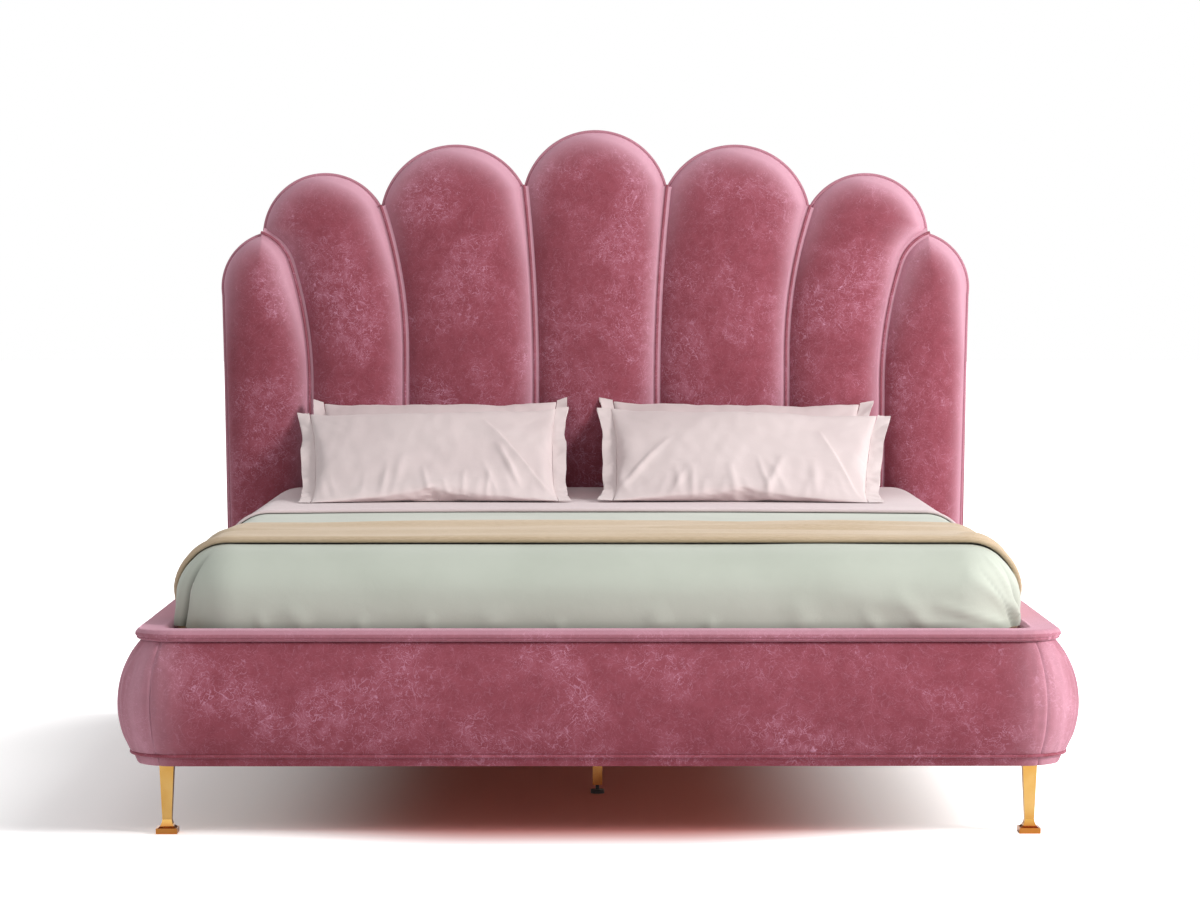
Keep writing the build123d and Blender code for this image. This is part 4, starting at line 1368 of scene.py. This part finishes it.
def subdivided(points, faces):
    """Smooth a closed form once: points, faces and the direction that each point faces."""
    mesh = bpy.data.meshes.new("coarse")
    mesh.from_pydata(points.tolist(), [], faces)
    coarse = bpy.data.objects.new("coarse", mesh)
    bpy.context.scene.collection.objects.link(coarse)
    coarse.modifiers.new("smooth", "SUBSURF").levels = 1
    bpy.context.view_layer.update()
    fine = bpy.data.meshes.new_from_object(coarse.evaluated_get(bpy.context.evaluated_depsgraph_get()))
    places, facing = np.empty(len(fine.vertices) * 3), np.empty(len(fine.vertices) * 3)
    fine.vertices.foreach_get("co", places)
    fine.vertex_normals.foreach_get("vector", facing)
    bpy.data.objects.remove(coarse)
    return places.reshape(-1, 3), [tuple(face.vertices) for face in fine.polygons], facing.reshape(-1, 3)


def flange_slab(sheet):
    """Thin doubled hem on a grid of points."""
    normal = np.cross(np.gradient(sheet, axis=1), np.gradient(sheet, axis=0))
    normal *= flange_half_thickness / np.linalg.norm(normal, axis=-1, keepdims=True)
    return two_sided(sheet + normal, sheet - normal)


case_points, case_faces, filled, numbers, seams = pillow_case()
case_points = blown_up(case_points, case_faces, filled)
limits = np.array((pillow_half_width, pillow_half_height, pillow_half_thickness))
case_points *= limits / np.abs(case_points).max(0)
sheet_quads = (numbers.shape[0] - 1) * (numbers.shape[1] - 1)
body_faces = [face for n, face in enumerate(case_faces)
              if n >= sheet_quads or seams[0] <= n % (numbers.shape[1] - 1) < seams[1]]
whole_points, whole_faces = [case_points], list(body_faces)
for part in (numbers[:, :seams[0] + 1], numbers[:, seams[1]:]):
    slab_points, slab_faces = flange_slab(case_points[part])
    first = sum(map(len, whole_points))
    whole_points.append(slab_points)
    whole_faces += [tuple(first + index for index in face) for face in slab_faces]
whole_points = np.concatenate(whole_points)
used = np.unique(np.concatenate([np.array(face) for face in whole_faces]))
renumber = np.full(len(whole_points), -1)
renumber[used] = np.arange(len(used))
whole_faces = [tuple(int(renumber[index]) for index in face) for face in whole_faces]
whole_points, whole_faces, facing = subdivided(whole_points[used], whole_faces)

pillow_kinds = {
    # body that it rides, width, height, which end is on the right, which way up, seed of its folds,
    # their number, how far it is turned (degrees), how much wider it is above
    "left_front": ("pillow_front_left", 0.960, 1.06, 1, 1, 11, 17, 2.4, 0.018),
    "right_front": ("pillow_front_right", 1.015, 1.05, -1, 1, 23, 18, -3.0, 0.045),
    "left_back": ("pillow_back_left", 0.935, 1.16, -1, -1, 31, 7, 0.8, 0.020),
    "right_back": ("pillow_back_right", 0.980, 1.16, 1, -1, 47, 7, -1.4, 0.030),
}
long_folds = {
    "left_front": [(0.30, -0.21, 0.12, 0.13, -0.012, 0.013, 0.42),
                   (0.21, -0.16, 0.15, 0.03, 0.008, 0.008, 0.45)],
    "right_front": [(0.29, -0.21, 0.17, 0.10, -0.012, 0.012, 0.40),
                    (-0.29, -0.16, -0.16, 0.06, 0.009, 0.007, 0.40)],
}
fan_half_width, fan_foot = 0.28, -0.21


def fan_folds(seed, count):
    """Short folds that fan up from the lower edge of a pillow, where its weight gathers the cloth."""
    dice = random.Random(seed)
    folds = []
    for number in range(count):
        start = (number + dice.uniform(0.1, 0.9)) / count * 2 * fan_half_width - fan_half_width
        length = dice.uniform(0.07, 0.20)
        lean = start * dice.uniform(-1.4, 0.2) + dice.uniform(-0.25, 0.25)
        end = start + length * math.sin(lean)
        folds.append((start, fan_foot, end, fan_foot + length * math.cos(lean), dice.uniform(0.006, 0.014),
                      dice.uniform(0.003, 0.0075), dice.uniform(0.15, 0.35)))
    return folds


blush = washed_cotton("blush_cotton", (0.745, 0.640, 0.635), (0.705, 0.598, 0.596),
                      sheen=0.3, crease_height=0.0005)
sheet_top_z = on_spread + sheet_bulk
pillow_sink = 0.034
lump, small_lump = 0.004, 0.0016
fold_seam_fade, fold_foot_fade = 0.016, 0.42
foot_swell = 0.16
flange_wave, flange_ripple, flange_pull = 0.014, 0.003, 0.020
corner_peak, top_sag = 0.020, 0.006


def settled(height, lowest):
    """Heights squeezed towards the lowest that there is room for, still one above the other."""
    sunk = lowest - height.min()
    if sunk <= 0:
        return height
    zone = 1.25 * sunk
    share = (height - height.min()) / (sunk + zone)
    return np.where(share < 1, lowest + zone * (0.2 * share + 0.8 * share ** 2), height)


for place, (body, width, height, right_end, way_up, seed, fold_count, turn, taper) in pillow_kinds.items():
    low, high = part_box(place + "_pillow")
    flip = np.array((right_end, way_up, 1))
    points, normals = whole_points * flip, facing * flip
    lumps = (lump * soft_noise(points, (0.10, 0.10, 0.5), seed)
             + small_lump * soft_noise(points, (0.03, 0.05, 0.5), seed))
    folds = fan_folds(seed, fold_count) + long_folds.get(place, [])
    rise = creases(points[:, 0], points[:, 1], folds) + lumps
    up = points[:, 1] / pillow_half_height
    full = np.clip(np.abs(points[:, 2]) / fold_seam_fade, 0, 1) * np.clip((1 + up) / fold_foot_fade, 0, 1)
    in_front = np.clip((normals[:, 2] - 0.05) / 0.35, 0, 1)
    hem = np.clip((np.abs(points[:, 0]) - pillow_half_width + pillow_flange + 0.004) / pillow_flange, 0, 1)
    above = np.clip(up, 0, 1) ** 3
    aside = np.clip(np.abs(points[:, 0]) / pillow_half_width, 0, 1)
    points[:, 2] *= (1 - foot_swell * up) / (1 + foot_swell)
    points += normals * (rise * full * in_front)[:, None]
    points[:, 2] += hem * (flange_wave * soft_noise(points, (9.0, 0.080, 9.0), seed + 2.5)
                           + flange_ripple * soft_noise(points, (9.0, 0.025, 9.0), seed + 4.5))
    points[:, 0] *= 1 - flange_pull * hem * (1 + 1.3 * soft_noise(points, (9.0, 0.075, 9.0), seed + 6.5))
    points[:, 0] *= width * (1 + taper * up)
    points[:, 1] = points[:, 1] * height + above * (corner_peak * aside ** 6 - top_sag * (1 - aside ** 2))
    lean = np.array(Matrix.Rotation(pillow_lean, 3, "X") @ Matrix.Rotation(math.radians(turn), 3, "Z"))
    points = points @ lean.T + np.array((low + high) / 2)
    points[:, 2] = settled(points[:, 2] - pillow_sink, sheet_top_z + lay_clearance)
    points[:, 1] = -settled(-points[:, 1], -high.y)
    pillow = new_piece(f"blush_{place}_pillow", points, whole_faces, blush, sharp_angle=80)
    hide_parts(place + "_pillow")
    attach(pillow, body)


# The stage is a plain pale floor that keeps the shadow of the bed close to it, with soft
# light from the right and a white background. Further off the floor glows white for the camera,
# and where that glow fades in shapes the shadow: painted light. Under the bed the floor is
# tinted reddish brown: painted shade.

floor_half = 40.0
floor_mesh = bpy.data.meshes.new("floor")
floor_mesh.from_pydata([(-floor_half, -floor_half, 0), (floor_half, -floor_half, 0),
                        (floor_half, floor_half, 0), (-floor_half, floor_half, 0)], [], [(0, 1, 2, 3)])
floor = bpy.data.objects.new("floor", floor_mesh)
bpy.context.scene.collection.objects.link(floor)
floor_finish = Finish("pale_floor")


def past(value, edge, reach):
    """How far a place lies past an edge, as a share of a reach, and 0 before the edge."""
    share = (value - edge) * (1 / reach)
    return floor_finish.node("ShaderNodeMath", {"operation": "MAXIMUM"}, {0: share, 1: 0.0})


across = floor_finish.node("ShaderNodeSeparateXYZ", {}, {0: floor_finish.place}, output=0)
along = floor_finish.node("ShaderNodeSeparateXYZ", {}, {0: floor_finish.place}, output=1)
# how far a place lies from the bed; the terms across the bed let the painted glow in under its right side and
# beside its left
away = (past(across, 0.78, 0.55) + past(0.0 - across, 1.10, 1.40) + past(0.0 - along, 0.98, 0.42)
        + past(along, 0.9, 0.8) + 0.34 * floor_finish.rise(0.0 - across, 0.22, 0.77)
        + 0.66 * floor_finish.rise(across, 0.12, 0.90))
# painted light: the floor glows white for the camera as it gets away from the bed
painted_floor_glow = floor_finish.rise(away, 0.0, 1.0)
# painted shade: reddish brown under the bed, strongest near its middle
shade_tint = 1.0 - floor_finish.rise(away, 0.0, 0.70)
shade_tint = shade_tint * (1.0 - floor_finish.rise(abs(across - 0.12), 0.25, 1.35))
viewed = floor_finish.node("ShaderNodeLightPath", output="Is Camera Ray")
pale_floor, shaded_floor = (0.90, 0.895, 0.895), (0.80, 0.33, 0.31)
black, white = (0.0, 0.0, 0.0), (1.0, 1.0, 1.0)
floor_mesh.materials.append(floor_finish.surface({
    "Base Color": floor_finish.mix(shade_tint, pale_floor, shaded_floor), "Roughness": 0.9,
    "Specular IOR Level": 0.05, "Emission Color": floor_finish.mix(painted_floor_glow * viewed, black, white),
    "Emission Strength": 1.0}))

world = bpy.data.worlds.new("studio")
bpy.context.scene.world = world
world.use_nodes = True
sky = Nodes(world.node_tree)
world.node_tree.nodes.clear()
seen = sky.node("ShaderNodeLightPath", output="Is Camera Ray")
mirrored = sky.node("ShaderNodeLightPath", output="Is Glossy Ray")
clear = sky.node("ShaderNodeLightPath", output="Is Transmission Ray")
ambient_strength = 0.44
strength = ambient_strength + (1 - ambient_strength) * (seen + mirrored + clear)
background = sky.node("ShaderNodeBackground", {}, {"Color": white, "Strength": strength})
sky.node("ShaderNodeOutputWorld", {}, {"Surface": background})


def soft_light(name, place, target, size, power, colour):
    """A round area light at a place, turned to a target."""
    lamp = bpy.data.lights.new(name, "AREA")
    lamp.shape = "DISK"
    lamp.size = size
    lamp.energy = power
    lamp.color = colour
    holder = bpy.data.objects.new(name, lamp)
    bpy.context.scene.collection.objects.link(holder)
    holder.location = place
    holder.rotation_euler = (Vector(target) - Vector(place)).to_track_quat("-Z", "Y").to_euler()


soft_light("key_light", (4.6, -3.0, 2.8), (0.1, 0.3, 0.6), 1.8, 245.0, (1.0, 0.98, 0.97))
soft_light("side_light", (5.2, 0.0, 1.4), (0.6, 0.5, 0.8), 1.6, 45.0, (1.0, 0.98, 0.98))
soft_light("front_fill", (-4.2, -5.8, 2.6), (-0.3, -0.2, 0.6), 4.0, 36.0, (1.0, 1.0, 1.0))
soft_light("top_light", (0.2, -0.9, 4.4), (0.0, 0.0, 0.5), 3.0, 15.0, (1.0, 1.0, 1.0))
soft_light("crown_light", (1.6, 3.6, 4.0), (0.0, 1.0, 1.2), 2.0, 80.0, (1.0, 0.98, 0.99))

# The camera looks at the foot of the bed from the place that the photograph
# was taken from, a little above the mattress and nearly square on.

camera_place = (-0.0244, -8.1335, 1.0597)
camera_dip, camera_turn = 2.651, -0.2217
camera_data = bpy.data.cameras.new("camera")
camera_data.sensor_width = 36.0
camera_data.lens = 111.8
camera_data.clip_end = 200.0
camera = bpy.data.objects.new("camera", camera_data)
bpy.context.scene.collection.objects.link(camera)
camera.location = camera_place
camera.rotation_euler = (math.radians(90 - camera_dip), 0, math.radians(camera_turn))
bpy.context.scene.camera = camera
bpy.context.scene.view_settings.view_transform = "Standard"
